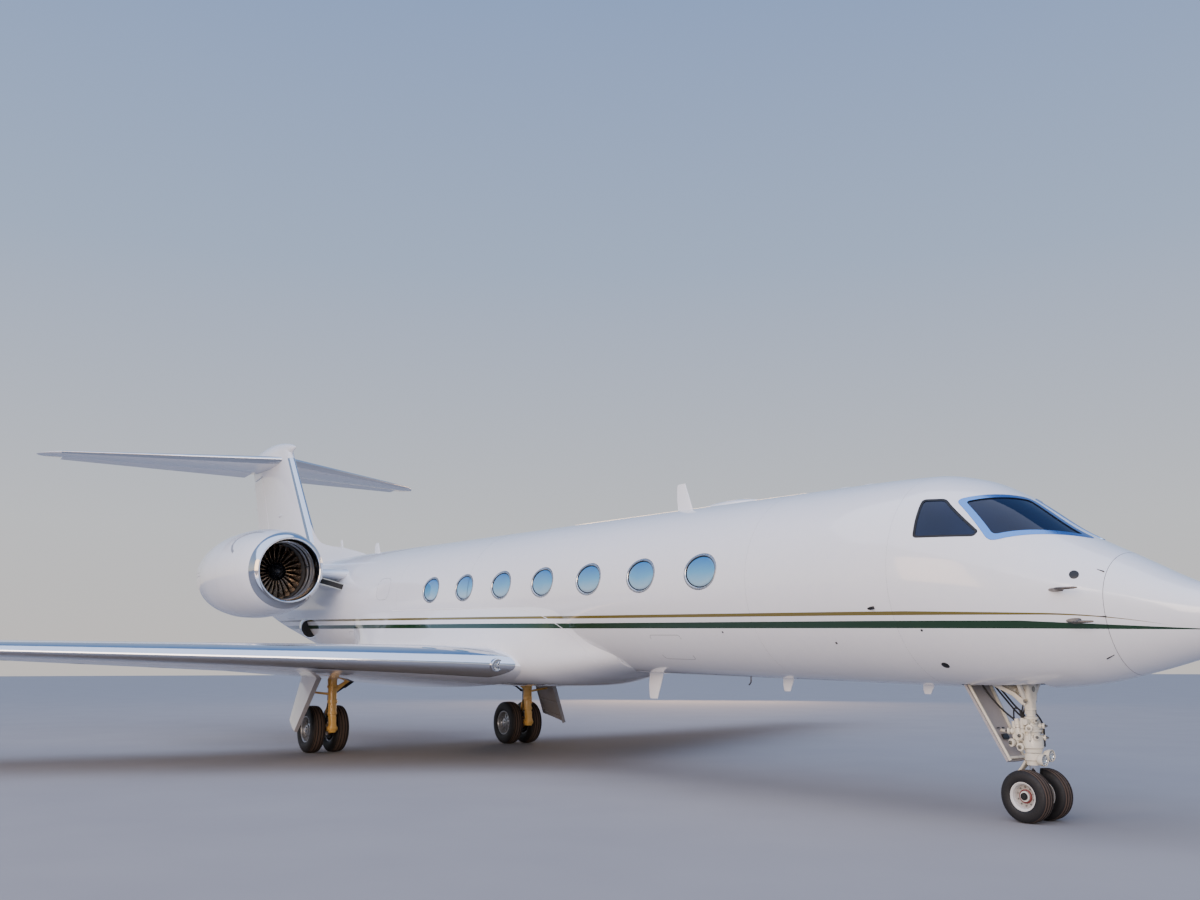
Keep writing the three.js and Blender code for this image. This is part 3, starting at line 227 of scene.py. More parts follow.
def outwards(piece):
    """Turns a closed mesh's faces outwards."""
    shape = bmesh.new()
    shape.from_mesh(piece.data)
    bmesh.ops.recalc_face_normals(shape, faces=shape.faces)
    if shape.calc_volume(signed=True) < 0:
        bmesh.ops.reverse_faces(shape, faces=shape.faces)
    shape.to_mesh(piece.data)
    shape.free()
    return piece


def loft(name, rings):
    """A closed skin through rings that have the same number of points."""
    count = len(rings[0])
    faces = [(i * count + j, i * count + (j + 1) % count, (i + 1) * count + (j + 1) % count,
              (i + 1) * count + j)
             for i in range(len(rings) - 1) for j in range(count)]
    faces += [tuple(range(count)), tuple((len(rings) - 1) * count + j for j in range(count))]
    return outwards(made(name, [p for ring in rings for p in ring], faces))


def carve(body, tools, how="DIFFERENCE"):
    """Cuts, joins or intersects a closed mesh with others, which are used up."""
    for tool in tools if isinstance(tools, (list, tuple)) else [tools]:
        step = body.modifiers.new("carve", "BOOLEAN")
        step.object, step.operation, step.solver = tool, how, "MANIFOLD"
        plain(body)
        bpy.data.objects.remove(tool)
    return body


def plain(piece):
    """Turns a piece's modifiers into its mesh."""
    bpy.context.view_layer.update()
    result = bpy.data.meshes.new_from_object(piece.evaluated_get(bpy.context.evaluated_depsgraph_get()))
    piece.modifiers.clear()
    old, piece.data = piece.data, result
    result.name = piece.name
    bpy.data.meshes.remove(old)
    return piece


def again(piece, name):
    """A second copy of a mesh object."""
    copy = piece.copy()
    copy.data = piece.data.copy()
    copy.name = name
    bpy.context.scene.collection.objects.link(copy)
    return copy


def gathered(name, pieces):
    """Several closed meshes as one mesh object."""
    joined = bmesh.new()
    for piece in pieces:
        joined.from_mesh(piece.data)
        bpy.data.objects.remove(piece)
    result = made(name, [], [])
    joined.to_mesh(result.data)
    joined.free()
    return result


def full_turn(count):
    """Angles evenly round a circle."""
    return np.linspace(0, 2 * math.pi, count + 1)[:-1]


def spun(start, way, profile, segments=32):
    """A solid turned about a line; the profile is [(distance along, radius), ...]."""
    start, way = Vector(start), Vector(way).normalized()
    across = way.orthogonal().normalized()
    over = way.cross(across)
    angles = [2 * math.pi * k / segments for k in range(segments)]
    return loft("spun", [[start + way * d + (across * math.cos(a) + over * math.sin(a)) * r for a in angles]
                         for d, r in profile])


def beam(rows, across, corner=0.4):
    """A forged beam with rounded edges; rows are (place, half width, half thickness)."""
    places = [Vector(row[0]) for row in rows]
    rings = []
    for i, (_, wide, thick) in enumerate(rows):
        way = (places[min(i + 1, len(rows) - 1)] - places[max(i - 1, 0)]).normalized()
        side = (Vector(across) - way * way.dot(Vector(across))).normalized()
        over = way.cross(side)
        ring = []
        for k in range(20):
            c, s = math.cos(math.pi * (k + 0.5) / 10), math.sin(math.pi * (k + 0.5) / 10)
            ring.append(places[i] + side * math.copysign(abs(c) ** corner, c) * wide
                        + over * math.copysign(abs(s) ** corner, s) * thick)
        rings.append(ring)
    return loft("beam", rings)


def pipe(path, radius, segments=10, steps=6):
    """A smoothly bent pipe through a list of places."""
    path = [Vector(p) for p in path]
    line = []
    for i in range(len(path) - 1):
        a, b, c, d = path[max(i - 1, 0)], path[i], path[i + 1], path[min(i + 2, len(path) - 1)]
        for k in range(steps):
            t = k / steps
            line.append(0.5 * (2 * b + (c - a) * t + (2 * a - 5 * b + 4 * c - d) * t * t
                               + (3 * b - a - 3 * c + d) * t ** 3))
    line.append(path[-1])
    across = (line[1] - line[0]).orthogonal().normalized()
    rings = []
    for i, place in enumerate(line):
        way = (line[min(i + 1, len(line) - 1)] - line[max(i - 1, 0)]).normalized()
        across = (across - way * across.dot(way)).normalized()
        over = way.cross(across)
        rings.append([place + (across * math.cos(2 * math.pi * k / segments)
                               + over * math.sin(2 * math.pi * k / segments)) * radius
                               for k in range(segments)])
    return loft("pipe", rings)


def ring_solid(name, points, rows, segments):
    """A solid from rings of points, the last joined to the first; points that coincide are merged."""
    faces = [(i * segments + k, i * segments + (k + 1) % segments,
              (i + 1) % rows * segments + (k + 1) % segments,
              (i + 1) % rows * segments + k) for i in range(rows) for k in range(segments)]
    piece = made(name, points, faces)
    shape = bmesh.new()
    shape.from_mesh(piece.data)
    bmesh.ops.remove_doubles(shape, verts=shape.verts, dist=1e-5)
    bmesh.ops.dissolve_degenerate(shape, edges=shape.edges, dist=1e-6)
    shape.to_mesh(piece.data)
    shape.free()
    return outwards(piece)


def turned(name, centre, way, profile, segments=96):
    """A solid turned about a line from a closed [(distance along, radius), ...] outline."""
    centre, way = Vector(centre), Vector(way).normalized()
    across = way.orthogonal().normalized()
    over = way.cross(across)
    return ring_solid(name, [centre + way * d + (across * math.cos(2 * math.pi * k / segments)
                                                 + over * math.sin(2 * math.pi * k / segments)) * r
                             for d, r in profile for k in range(segments)], len(profile), segments)


def bar(name, start, end, radius, end_radius=None, segments=24):
    """A round bar or a cone between two points."""
    start, end = Vector(start), Vector(end)
    way = (end - start).normalized()
    across = way.orthogonal().normalized()
    over = way.cross(across)
    rings = []
    for place, size in ((start, radius), (end, radius if end_radius is None else end_radius)):
        rings.append([place + (across * math.cos(2 * math.pi * k / segments)
                               + over * math.sin(2 * math.pi * k / segments)) * size
                               for k in range(segments)])
    return loft(name, rings)


def fuselage_loft(name, front, rear, inset=0.0):
    between = [s for s in fuselage_stations if front + 0.002 < s < rear - 0.002]
    return loft(name, [fuselage_ring(s, inset) for s in [front, *between, rear]])


def guide(piece):
    """The uncut skin that the pieces cut from it take their smooth normals from."""
    mesh = piece.data
    mesh.polygons.foreach_set("use_smooth", [True] * len(mesh.polygons))
    mesh.set_sharp_from_angle(angle=math.radians(40))
    mesh.calc_loop_triangles()
    points = [v.co.copy() for v in mesh.vertices]
    corners = [n.vector.copy() for n in mesh.corner_normals]
    faces = [tuple(t.vertices) for t in mesh.loop_triangles]
    leans = [[corners[k] for k in t.loops] for t in mesh.loop_triangles]
    bpy.data.objects.remove(piece)
    return BVHTree.FromPolygons(points, faces), points, faces, leans


def shade(piece, skin=None, near=0.002, crease=35):
    """Smooths a piece, and gives what lies on the guide skin its normals. Returns those faces."""
    mesh = piece.data
    mesh.polygons.foreach_set("use_smooth", [True] * len(mesh.polygons))
    mesh.set_sharp_from_angle(angle=math.radians(crease))
    if skin is None:
        return []
    search, points, faces, leans = skin
    normals = [n.vector.copy() for n in mesh.corner_normals]
    on_skin = []
    for face in mesh.polygons:
        found = 0
        for corner in face.loop_indices:
            place = mesh.vertices[mesh.loops[corner].vertex_index].co
            nearest, way, index, distance = search.find_nearest(place.lerp(face.center, 0.02))
            if distance < near and way.dot(face.normal) > 0.8:
                weights = poly_3d_calc([points[k] for k in faces[index]], nearest)
                lean = sum((leans[index][k] * weights[k] for k in range(3)), Vector())
                if lean.length > 0.5:
                    normals[corner] = lean.normalized()
                    found += 1
        if found == face.loop_total:
            on_skin.append(face.index)
    mesh.normals_split_custom_set(normals)
    return on_skin


def finished(piece, body, finish, slot, lining=None, outside=()):
    """Gives a piece its material and its body; faces off the skin may get a lining. The slot is not used."""
    mesh = piece.data
    mesh.materials.clear()
    mesh.materials.append(finish)
    mesh.polygons.foreach_set("material_index", [0] * len(mesh.polygons))
    if lining is not None:
        mesh.materials.append(lining)
        kept = set(outside)
        mesh.polygons.foreach_set("material_index",
                                  [0 if k in kept else 1 for k in range(len(mesh.polygons))])
    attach(piece, body)
    return piece


def smoothed(piece, *dress):
    """Smooths a piece off the skin and dresses it."""
    shade(piece)
    return finished(piece, *dress)


def fitted(name, pieces, *dress):
    """Several closed meshes as one piece, smoothed and dressed."""
    return smoothed(gathered(name, pieces), *dress)


def material(name, colour, roughness, metallic=0.0, ior=1.5):
    """A new material with its Principled shader's plain values set."""
    new = bpy.data.materials.new(name)
    new.use_nodes = True
    shader = new.node_tree.nodes["Principled BSDF"]
    shader.inputs["Base Color"].default_value = linear(colour)
    shader.inputs["Roughness"].default_value = roughness
    shader.inputs["Metallic"].default_value = metallic
    shader.inputs["IOR"].default_value = ior
    return new, new.node_tree, shader


def grained(tree, shader, scale, low, high, colours=None, bump=0.0, detail=4.0, stretch=(1, 1, 1)):
    """Noise that varies a material's roughness, and its colour and height where asked."""
    place = node(tree, "ShaderNodeMapping", {
        "Vector": node(tree, "ShaderNodeTexCoord").outputs["Object"], "Scale": stretch})
    noise = node(tree, "ShaderNodeTexNoise", {
        "Vector": place.outputs["Vector"], "Scale": scale, "Detail": detail})
    spread = node(tree, "ShaderNodeMapRange", {
        "Value": noise.outputs["Fac"], "From Min": 0.3, "From Max": 0.7, "To Min": low, "To Max": high})
    tree.links.new(spread.outputs["Result"], shader.inputs["Roughness"])
    if colours:
        tone = node(tree, "ShaderNodeMix", {
            "Factor": noise.outputs["Fac"], "A": linear(colours[0]), "B": linear(colours[1])},
            data_type="RGBA")
        tree.links.new(tone.outputs["Result"], shader.inputs["Base Color"])
    if bump:
        lift = node(tree, "ShaderNodeBump",
                    {"Height": noise.outputs["Fac"], "Strength": 1.0, "Distance": bump})
        tree.links.new(lift.outputs["Normal"], shader.inputs["Normal"])
    return noise


def grainy(parts, *grain, **more):
    """A material with its grain added."""
    new, tree, shader = parts
    grained(tree, shader, *grain, **more)
    return new


def math_node(tree, operation, first, second=0.0, third=0.0):
    """One arithmetic step."""
    return node(tree, "ShaderNodeMath", {0: first, 1: second, 2: third}, operation=operation).outputs[0]


# Polyurethane topcoat: a hard, very glossy white that mirrors the sky in its clear surface.
# The skin under it waves by a few hundredths of a millimetre from frame to frame (0.5 m).
def topcoat(name, stripes):
    new, tree, shader = material(name, "#eceef3", 0.16)
    shader.inputs["Coat Weight"].default_value = 0.8
    shader.inputs["Coat Roughness"].default_value = 0.03
    place = node(tree, "ShaderNodeTexCoord").outputs["Object"]
    waves = node(tree, "ShaderNodeTexNoise", {"Vector": place, "Scale": 1.6, "Detail": 1.0})
    film = node(tree, "ShaderNodeTexNoise", {"Vector": place, "Scale": 9.0, "Detail": 5.0})
    gloss = node(tree, "ShaderNodeMapRange", {"Value": film.outputs["Fac"], "To Min": 0.13, "To Max": 0.22})
    tree.links.new(gloss.outputs["Result"], shader.inputs["Roughness"])
    lift = node(tree, "ShaderNodeBump", {"Height": waves.outputs["Fac"], "Strength": 0.5, "Distance": 0.003})
    tree.links.new(lift.outputs["Normal"], shader.inputs["Normal"])
    tree.links.new(lift.outputs["Normal"], shader.inputs["Coat Normal"])
    tone = node(tree, "ShaderNodeMix", {
        "Factor": film.outputs["Fac"], "A": linear("#e9ebf1"), "B": linear("#f0f1f4")}, data_type="RGBA")
    colour = tone.outputs["Result"]
    if stripes:
        axes = node(tree, "ShaderNodeSeparateXYZ", {"Vector": place})
        station = math_node(tree, "MULTIPLY_ADD", axes.outputs["X"], -1.0, LENGTH / 2)
        rel = math_node(tree, "SUBTRACT", axes.outputs["Z"],
                        math_node(tree, "MULTIPLY_ADD", station, AXIS_RISE, AXIS_AT_NOSE))
        for tint, low, rise, width, narrow, front, full, bend in stripes:
            share = node(tree, "ShaderNodeMapRange", {
                "Value": station, "From Min": front, "From Max": full, "To Min": narrow, "To Max": width})
            floor_line = math_node(tree, "MULTIPLY_ADD", station, rise, low)
            short = math_node(tree, "MAXIMUM", math_node(tree, "SUBTRACT", 1.9, station), 0.0)
            dip = math_node(tree, "MULTIPLY", math_node(tree, "MULTIPLY", short, short), bend)
            over = math_node(tree, "ADD", math_node(tree, "SUBTRACT", rel, floor_line), dip)
            inside = math_node(tree, "MULTIPLY", math_node(tree, "GREATER_THAN", over, 0.0),
                               math_node(tree, "LESS_THAN", over, share.outputs["Result"]))
            colour = node(tree, "ShaderNodeMix", {
                "Factor": inside, "A": colour, "B": linear(tint)}, data_type="RGBA").outputs["Result"]
    tree.links.new(colour, shader.inputs["Base Color"])
    return new


# columns: colour, rel height at the nose tip, rise per metre, width, width at the nose,
# station where it begins to widen, station of full width, how sharply it dips at the nose
STRIPES = [
    ("#0b3312", -0.583, 0.0029, 0.078, 0.008, 0.55, 2.1, 0.0),
    ("#6d6127", -0.452, 0.0045, 0.042, 0.0, 0.8, 3.3, 0.08),
]
white_metal = topcoat("polyurethane_topcoat_on_aluminium", STRIPES)
white_plain = topcoat("polyurethane_topcoat_on_composite", [])

# Dark fabric-covered lining inside the flight deck and the seals round the openings.
lining = grainy(material("dark_grey_cabin_lining", "#2b2c30", 0.8), 300.0, 0.7, 0.9, ("#26272b", "#323338"),
                0.0006)

skin = guide(fuselage_loft("skin", 0, TAIL_END))

# Windows and doors in the skin
# Seven oval windows a side, four flight-deck panes, the airstair doorway to port, and the
# nose gear bay in the belly.
WINDOW_PITCH, WINDOW_REL = 1.2558, 0.162
WINDOWS = [(6.45 + WINDOW_PITCH * k, WINDOW_REL) for k in range(7)]
WINDOW_HALF = (0.320, 0.240)
# stations of the airstair doorway and rel heights of its sill and head
DOORWAY = (4.35, 5.26, -0.62, 0.93)
# stations of the nose gear bay's ends, and its half width
BAY_FRONT, BAY_REAR, BAY_HALF = 2.23, 3.23, 0.27


def prism(name, outline, way, back, out):
    """A prism over a flat or bent outline."""
    way = Vector(way)
    return loft(name, [[Vector(p) + way * d for p in outline] for d in (-back, out)])


def rounded(points, radius, steps=5):
    """An outline with its corners rounded."""
    result = []
    for i, corner in enumerate(points):
        corner = Vector(corner)
        before, after = Vector(points[i - 1]) - corner, Vector(points[(i + 1) % len(points)]) - corner
        reach = min(radius, before.length * 0.45, after.length * 0.45)
        start, end = corner + before.normalized() * reach, corner + after.normalized() * reach
        for k in range(steps + 1):
            t = k / steps
            result.append(start * (1 - t) ** 2 + corner * 2 * t * (1 - t) + end * t * t)
    return result


def grown(points, way, distance):
    """An outline with each edge moved outwards, in the plane across the given way."""
    way = Vector(way).normalized()
    points = [Vector(p) for p in points]
    middle = sum(points, Vector()) / len(points)
    edges = []
    for i, p in enumerate(points):
        q = points[(i + 1) % len(points)]
        out = (q - p).cross(way).normalized()
        if out.dot((p + q) / 2 - middle) < 0:
            out.negate()
        edges.append((p + out * distance, (q - p).normalized(), out))
    result = []
    for i, p in enumerate(points):
        (a, u, _), (b, _, out) = edges[i - 1], edges[i]
        result.append(a + u * ((b - a).dot(out) / u.dot(out)))
    return result


# Corners of the flight-deck panes: station, y, height on the port side, and their facing.
WINDSCREEN = ([(2.730, 0.668, 3.298), (2.340, 0.095, 3.295), (1.745, 0.130, 2.872), (2.345, 0.790, 2.890)],
              (0.58, 0.38, 0.72))
SIDE_WINDOW = ([(3.200, 0.765, 3.363), (2.945, 0.715, 3.345), (2.485, 0.838, 2.938), (2.518, 0.860, 2.883),
                (3.160, 1.030, 2.916)], (0, 1, 0))


def pane_prism(name, pane, side, grow=0.0, radius=0.05):
    corners, way = pane
    way = (way[0], way[1] * side, way[2])
    outline = [(at(s), y * side, z) for s, y, z in corners]
    if grow:
        outline = grown(outline, way, grow)
    return prism(name, rounded(outline, radius), way, 0.25, 0.32)


def window_prism(station, rel, side, half=WINDOW_HALF, grow=0.0):
    outline = [(at(station) + (half[0] + grow) * math.cos(k * math.pi / 24), side,
                axis_z(station) + rel + (half[1] + grow) * math.sin(k * math.pi / 24)) for k in range(48)]
    return prism("window_prism", outline, (0, side, 0), 0.35, 0.35)


def block(name, low, high):
    (a, b, c), (d, e, f) = low, high
    return loft(name, [[(a, b, c), (a, e, c), (a, e, f), (a, b, f)],
                       [(d, b, c), (d, e, c), (d, e, f), (d, b, f)]])


def doorway(name, clearance):
    front, rear, sill, head = DOORWAY
    rings = []
    for s in (front - clearance, rear + clearance):
        low, high = axis_z(s) + sill - clearance, axis_z(s) + head + clearance
        rings.append([(at(s), 0.3, low), (at(s), 1.5, low), (at(s), 1.5, high), (at(s), 0.3, high)])
    return loft(name, rings)


def shell(name, front, rear, wall=WALL, hollow=None):
    body = fuselage_loft(name, front, rear)
    return carve(body, fuselage_loft("hollow", front - 0.001 if hollow is None else hollow, rear + 0.001,
                                     wall))


radome = shell("radome_shell", 0, 1.328, 0.03, 0.06)
nose = carve(shell("nose_shell", 1.332, 3.4493), [
    *(pane_prism("hole", pane, side) for pane in (WINDSCREEN, SIDE_WINDOW) for side in (1, -1)),
    block("hole", (at(BAY_REAR), -BAY_HALF, 1.0), (at(BAY_FRONT), BAY_HALF, 1.65))])
entry = carve(shell("entry_shell", 3.4507, 5.5985), doorway("hole", 0.007))
cabin = carve(shell("cabin_shell", 5.6, 15.3985), [
    window_prism(s, rel, side) for s, rel in WINDOWS for side in (1, -1)])
# stations and rel heights of the baggage door
BAGGAGE = (17.15, 18.05, -0.30, 0.56)


def baggage_block(grow):
    front, rear, low, high = BAGGAGE
    base = axis_z((front + rear) / 2)
    return block("baggage", (at(rear + grow), 0.6, base + low - grow),
                 (at(front - grow), 1.4, base + high + grow))


aft = shell("aft_shell", 15.4, 20.598)
baggage = carve(again(aft, "baggage_door_panel"), baggage_block(-0.002), "INTERSECT")
carve(aft, baggage_block(0.002))
tail = shell("tail_cone_shell", 20.6, TAIL_END, 0.05)
for piece, name, slot in ((radome, "radome", "white_composite"), (nose, "nose_fuselage", "white_metal"),
                          (entry, "entry_fuselage", "white_metal"),
                          (cabin, "cabin_fuselage", "white_metal"), (aft, "aft_fuselage", "white_metal"),
                          (baggage, "baggage_door", "white_metal"), (tail, "tail_cone", "white_metal")):
    finished(piece, "airframe", white_metal, slot, lining, shade(piece, skin))
    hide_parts(name)

# Cabin windows
# Stretched acrylic panes in bare-metal retainer rings, set a little way into the skin. The panes'
# colour is a painted sky reflection by height: dark at the sill, pinkish grey and pale blue, deep blue at the
# top.
retainer_metal = grainy(material("bright_aluminium_retainer", "#c9ccd1", 0.25, 1.0), 40.0, 0.18, 0.32)
gap_seal = grainy(material("black_rubber_seal", "#0b0b0d", 0.6), 200.0, 0.5, 0.7, ("#09090b", "#131316"),
                  0.0004)
pane_painted_sky_reflection, tree, shader = material("acrylic_pane_painted_sky_reflection", "#2f6fae", 0.04, ior=1.49)
shader.inputs["Coat Weight"].default_value = 1.0
shader.inputs["Coat Roughness"].default_value = 0.02
place = node(tree, "ShaderNodeTexCoord").outputs["Object"]
axes = node(tree, "ShaderNodeSeparateXYZ", {"Vector": place})
drop = math_node(tree, "SUBTRACT", axes.outputs["Z"], math_node(tree, "MULTIPLY_ADD", axes.outputs["X"],
                                                                -0.02625, 2.8417 + 0.162))
cast = node(tree, "ShaderNodeTexNoise", {"Vector": place, "Scale": 3.0, "Detail": 2.0})
height = math_node(tree, "MULTIPLY_ADD", cast.outputs["Fac"], 0.12, drop)
# The colour ramp paints the sky's reflection by height in the window: dark ground low, a pale horizon, blue
# sky above.
tint = node(tree, "ShaderNodeValToRGB", {"Fac": math_node(tree, "MULTIPLY_ADD", height, 1.9, 0.45)})
tint.color_ramp.elements[0].position = 0.02
tint.color_ramp.elements[0].color = linear("#1b2531")
tint.color_ramp.elements[1].position = 0.98
tint.color_ramp.elements[1].color = linear("#1f6cb4")
for position, tone in ((0.10, "#8d8ba1"), (0.28, "#8fb4c9"), (0.55, "#5aa0c8")):
    tint.color_ramp.elements.new(position).color = linear(tone)
tree.links.new(tint.outputs["Color"], shader.inputs["Base Color"])


def skin_point(station, rel, depth, side):
    """A point of the round cabin skin, or under it by a depth."""
    radius = CABIN_RADIUS - depth
    return (at(station), side * math.sqrt(max(radius ** 2 - rel ** 2, 0.0)), axis_z(station) + rel)


def oval_rings(name, profile, steps=64, closed=False):
    """Oval bands in all the cabin windows; the profile is [(growth of the half axes, depth), ...]."""
    points, faces = [], []
    for station, rel in WINDOWS:
        for side in (1, -1):
            first = len(points)
            for grow, depth in profile:
                for k in range(steps):
                    angle = 2 * math.pi * k / steps
                    points.append(skin_point(station + (WINDOW_HALF[0] + grow) * math.cos(angle),
                                             rel + (WINDOW_HALF[1] + grow) * math.sin(angle), depth, side))
            rows = len(profile)
            for i in range(rows if closed else rows - 1):
                for k in range(steps):
                    a, b = first + i * steps, first + (i + 1) % rows * steps
                    faces.append((a + k, a + (k + 1) % steps, b + (k + 1) % steps, b + k))
            if not closed:
                faces.append(tuple(first + k for k in range(steps)))
                faces.append(tuple(first + (rows - 1) * steps + k for k in range(steps)))
    return outwards(made(name, points, faces))


rims = oval_rings("cabin_window_retainers", [
    (-0.003, 0.030), (-0.003, -0.0015), (-0.008, -0.003), (-0.026, -0.002), (-0.032, 0.004), (-0.034, 0.030)],
    closed=True)
seals = oval_rings("cabin_window_seals", [
    (-0.0345, 0.034), (-0.0345, 0.008), (-0.038, 0.006), (-0.044, 0.008), (-0.046, 0.034)], closed=True)
panes = oval_rings("cabin_window_panes", [
    (-0.047, 0.034), (-0.047, 0.014), (-0.056, 0.0105), (-0.080, 0.009)])
for piece, finish, slot in ((rims, retainer_metal, "polished_metal"), (seals, gap_seal, "tyre_rubber"),
                            (panes, pane_painted_sky_reflection, "cockpit_glass")):
    smoothed(piece, "airframe", finish, slot)

# Flight-deck glass
# Thick laminated panes with a metal-oxide heating film that turns them blue-violet. The
# windscreens are clamped under bare aluminium frames; the side panes sit in black seals.
flight_glass, tree, shader = material("laminated_heated_glass", "#0c1734", 0.02, ior=1.45)
shader.inputs["Transmission Weight"].default_value = 0.6
shader.inputs["Specular IOR Level"].default_value = 0.3
grained(tree, shader, 2.0, 0.01, 0.03, ("#101c3a", "#1d3362"))
# The frames' blue colour is a painted sky reflection on the bare aluminium.
frame_painted_sky_blue = grainy(material("bare_aluminium_frame_painted_sky_blue", "#6f9ad0", 0.22, 1.0), 60.0, 0.16, 0.28,
                     stretch=(1, 1, 6))


def skin_plate(name, cutter, outer, inner):
    """A plate that follows the skin between two depths, inside a prism."""
    plate = carve(fuselage_loft(name, 1.5, 3.9, outer), fuselage_loft("under", 1.4, 4.0, inner))
    return carve(plate, cutter, "INTERSECT")


def sided(side):
    return "left" if side > 0 else "right"


for side in (1, -1):
    for label, pane, seal in (("windscreen", WINDSCREEN, 0.006), ("side_window", SIDE_WINDOW, 0.022)):
        glass = skin_plate(f"{label}_glass_{sided(side)}", pane_prism("cutter", pane, side, -seal, 0.04),
                           0.010, 0.032)
        shade(glass, skin, 0.04)
        finished(glass, "airframe", flight_glass, "cockpit_glass")
        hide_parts(f"{label}_{sided(side)}")
        edge = skin_plate(f"{label}_seal_{sided(side)}", pane_prism("cutter", pane, side, -0.001, 0.045),
                          0.004, 0.036)
        carve(edge, pane_prism("cutter", pane, side, -seal - 0.0005, 0.04))
        smoothed(edge, "airframe", gap_seal, "tyre_rubber")
    frame_plate = skin_plate(f"windscreen_frame_{sided(side)}",
                             pane_prism("cutter", WINDSCREEN, side, 0.068, 0.09), -0.004, 0.006)
    carve(frame_plate, pane_prism("cutter", WINDSCREEN, side, 0.0, 0.05))
    shade(frame_plate, skin, 0.006)
    finished(frame_plate, "airframe", frame_painted_sky_blue, "polished_metal")

# Flight deck inside
# Behind the glass the instrument panel and the floor wear the dark lining, and the two pilot
# seats have grey sheepskin covers. Their shapes are the CAD's own.
seat_cloth = grainy(material("grey_sheepskin_seat_cover", "#6f6c68", 0.95), 140.0, 0.85, 1.0,
                    ("#5f5d5a", "#807d78"), 0.003)
for name in ("instrument_panel", "cabin_floor"):
    nodes[name].data.materials.clear()
    nodes[name].data.materials.append(lining)
nodes["pilot_seats"].data.materials.clear()
nodes["pilot_seats"].data.materials.append(seat_cloth)


# Airstair door
# The lower edge hinges on the sill, so the door lies out as a stair. A white skin panel
# carries two side stringers and four treads with non-slip tops.
door_panel = carve(carve(fuselage_loft("airstair_door_panel", 4.3, 5.31),
                         fuselage_loft("under", 4.29, 5.32, 0.062)),
                   doorway("cutter", 0.0), "INTERSECT")
door_outside = shade(door_panel, skin)
finished(door_panel, "airstair", white_metal, "white_metal", lining, door_outside)
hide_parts("airstair_door")
tread_metal = grainy(material("anodised_tread_plate", "#8b8f94", 0.45, 0.9), 120.0, 0.35, 0.6,
                     ("#7d8186", "#9a9ea3"), 0.001)


def door_profile(points, station):
    return [(at(station), y, axis_z(station) + rel) for y, rel in points]


stair = None
for station in (4.44, 5.14):
    side_web = [(1.105, -0.38), (1.055, 0.56), (0.62, 0.56), (0.69, -0.38)]
    web = loft("airstair_steps", [door_profile(side_web, station), door_profile(side_web, station + 0.03)])
    stair = web if stair is None else carve(stair, web, "UNION")
for rel in (-0.34, -0.085, 0.17, 0.425):
    tread = [(0.98, rel), (0.755, rel + 0.158), (0.755, rel + 0.188), (0.98, rel + 0.03)]
    carve(stair, loft("tread", [door_profile(tread, 4.45), door_profile(tread, 5.16)]), "UNION")
carve(stair, fuselage_loft("inside", 4.3, 5.3, 0.063), "INTERSECT")
smoothed(stair, "airstair", tread_metal, "gear_paint")

# Belly fairing
# A glass-fibre fairing that wraps the wing box; it waists out to the wing's root.
# columns: station, width at the top seam, waist width, waist rel height, bottom rel height
FAIRING = [
    (8.90, 1.000, 0.750, -0.800, -1.150),
    (9.25, 1.100, 0.880, -0.860, -1.215),
    (9.80, 1.160, 1.100, -0.900, -1.330),
    (10.60, 1.172, 1.330, -0.940, -1.455),
    (12.00, 1.172, 1.450, -0.960, -1.505),
    (15.60, 1.172, 1.480, -0.980, -1.540),
    (16.70, 1.168, 1.330, -0.950, -1.480),
    (17.50, 1.150, 1.080, -0.890, -1.300),
    (18.30, 1.060, 0.800, -0.820, -1.140),
]
FAIRING_TOP = -0.200
fairing_sizes = smooth_columns(FAIRING)


def fairing_ring(station, grow=0.0):
    top, waist, waist_rel, bottom = fairing_sizes(station)
    half = []
    for i in range(13):
        t = i / 12
        share = math.sin(t * math.pi / 2) ** 1.4
        half.append((top + (waist - top) * share + grow, FAIRING_TOP + (waist_rel - FAIRING_TOP) * t))
    for i in range(1, 25):
        angle = min(i * math.pi / 48, math.pi / 2 - 1e-9)
        half.append((waist * math.cos(angle) ** 0.72 + grow * math.cos(angle),
                     waist_rel + (bottom - waist_rel) * math.sin(angle) ** 0.72 - grow * math.sin(angle)))
    half[-1] = (0.0, half[-1][1])
    ring = [(at(station), y, axis_z(station) + z) for y, z in half]
    return ring + [(at(station), -y, axis_z(station) + z) for y, z in reversed(half[:-1])]


fairing_stations = np.unique(np.round(np.concatenate([
    np.arange(8.9, 12.01, 0.1), np.arange(12.4, 15.6, 0.4), np.arange(15.6, 18.31, 0.1)]), 3))


def fairing_loft(name, grow=0.0):
    return loft(name, [fairing_ring(s, grow) for s in fairing_stations])


fairing_skin = guide(fairing_loft("skin"))
fairing = carve(fairing_loft("wing_body_fairing_shell"), fuselage_loft("skin_room", 8.0, 19.5, -0.0005))
shade(fairing, fairing_skin)
finished(fairing, "airframe", white_metal, "white_composite")
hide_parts("wing_body_fairing")

# Wings
# Milled aluminium skins in white, with a polished bare-metal leading edge that carries the
# anti-ice heat, and an upswept winglet. Sections are fuller above the chord than below.
# columns: y, leading edge station, chord, leading edge height, thickness ratio, twist
WING = [
    (1.000, 10.450, 6.900, 1.580, 0.108, 2.4),
    (2.200, 11.170, 6.180, 1.640, 0.108, 2.2),
    (4.400, 12.490, 4.860, 1.722, 0.106, 1.5),
    (8.350, 14.860, 3.370, 1.838, 0.102, 0.4),
    (13.300, 17.830, 1.560, 1.990, 0.095, -0.8),
]
# columns: y, leading edge station, chord, leading edge height, cant in degrees
WINGLET = [
    (13.580, 18.030, 1.470, 2.030, 24),
    (13.790, 18.230, 1.340, 2.170, 55),
    (13.900, 18.400, 1.220, 2.350, 74),
    (14.2305, 19.420, 0.560, 3.330, 78),
]
ABOVE, BELOW = 1.12, 0.62
AEROFOIL_STEPS = 26


def half_thickness(x):
    return 5 * (0.2969 * math.sqrt(x) - 0.126 * x - 0.3516 * x ** 2 + 0.2843 * x ** 3 - 0.0995 * x ** 4)


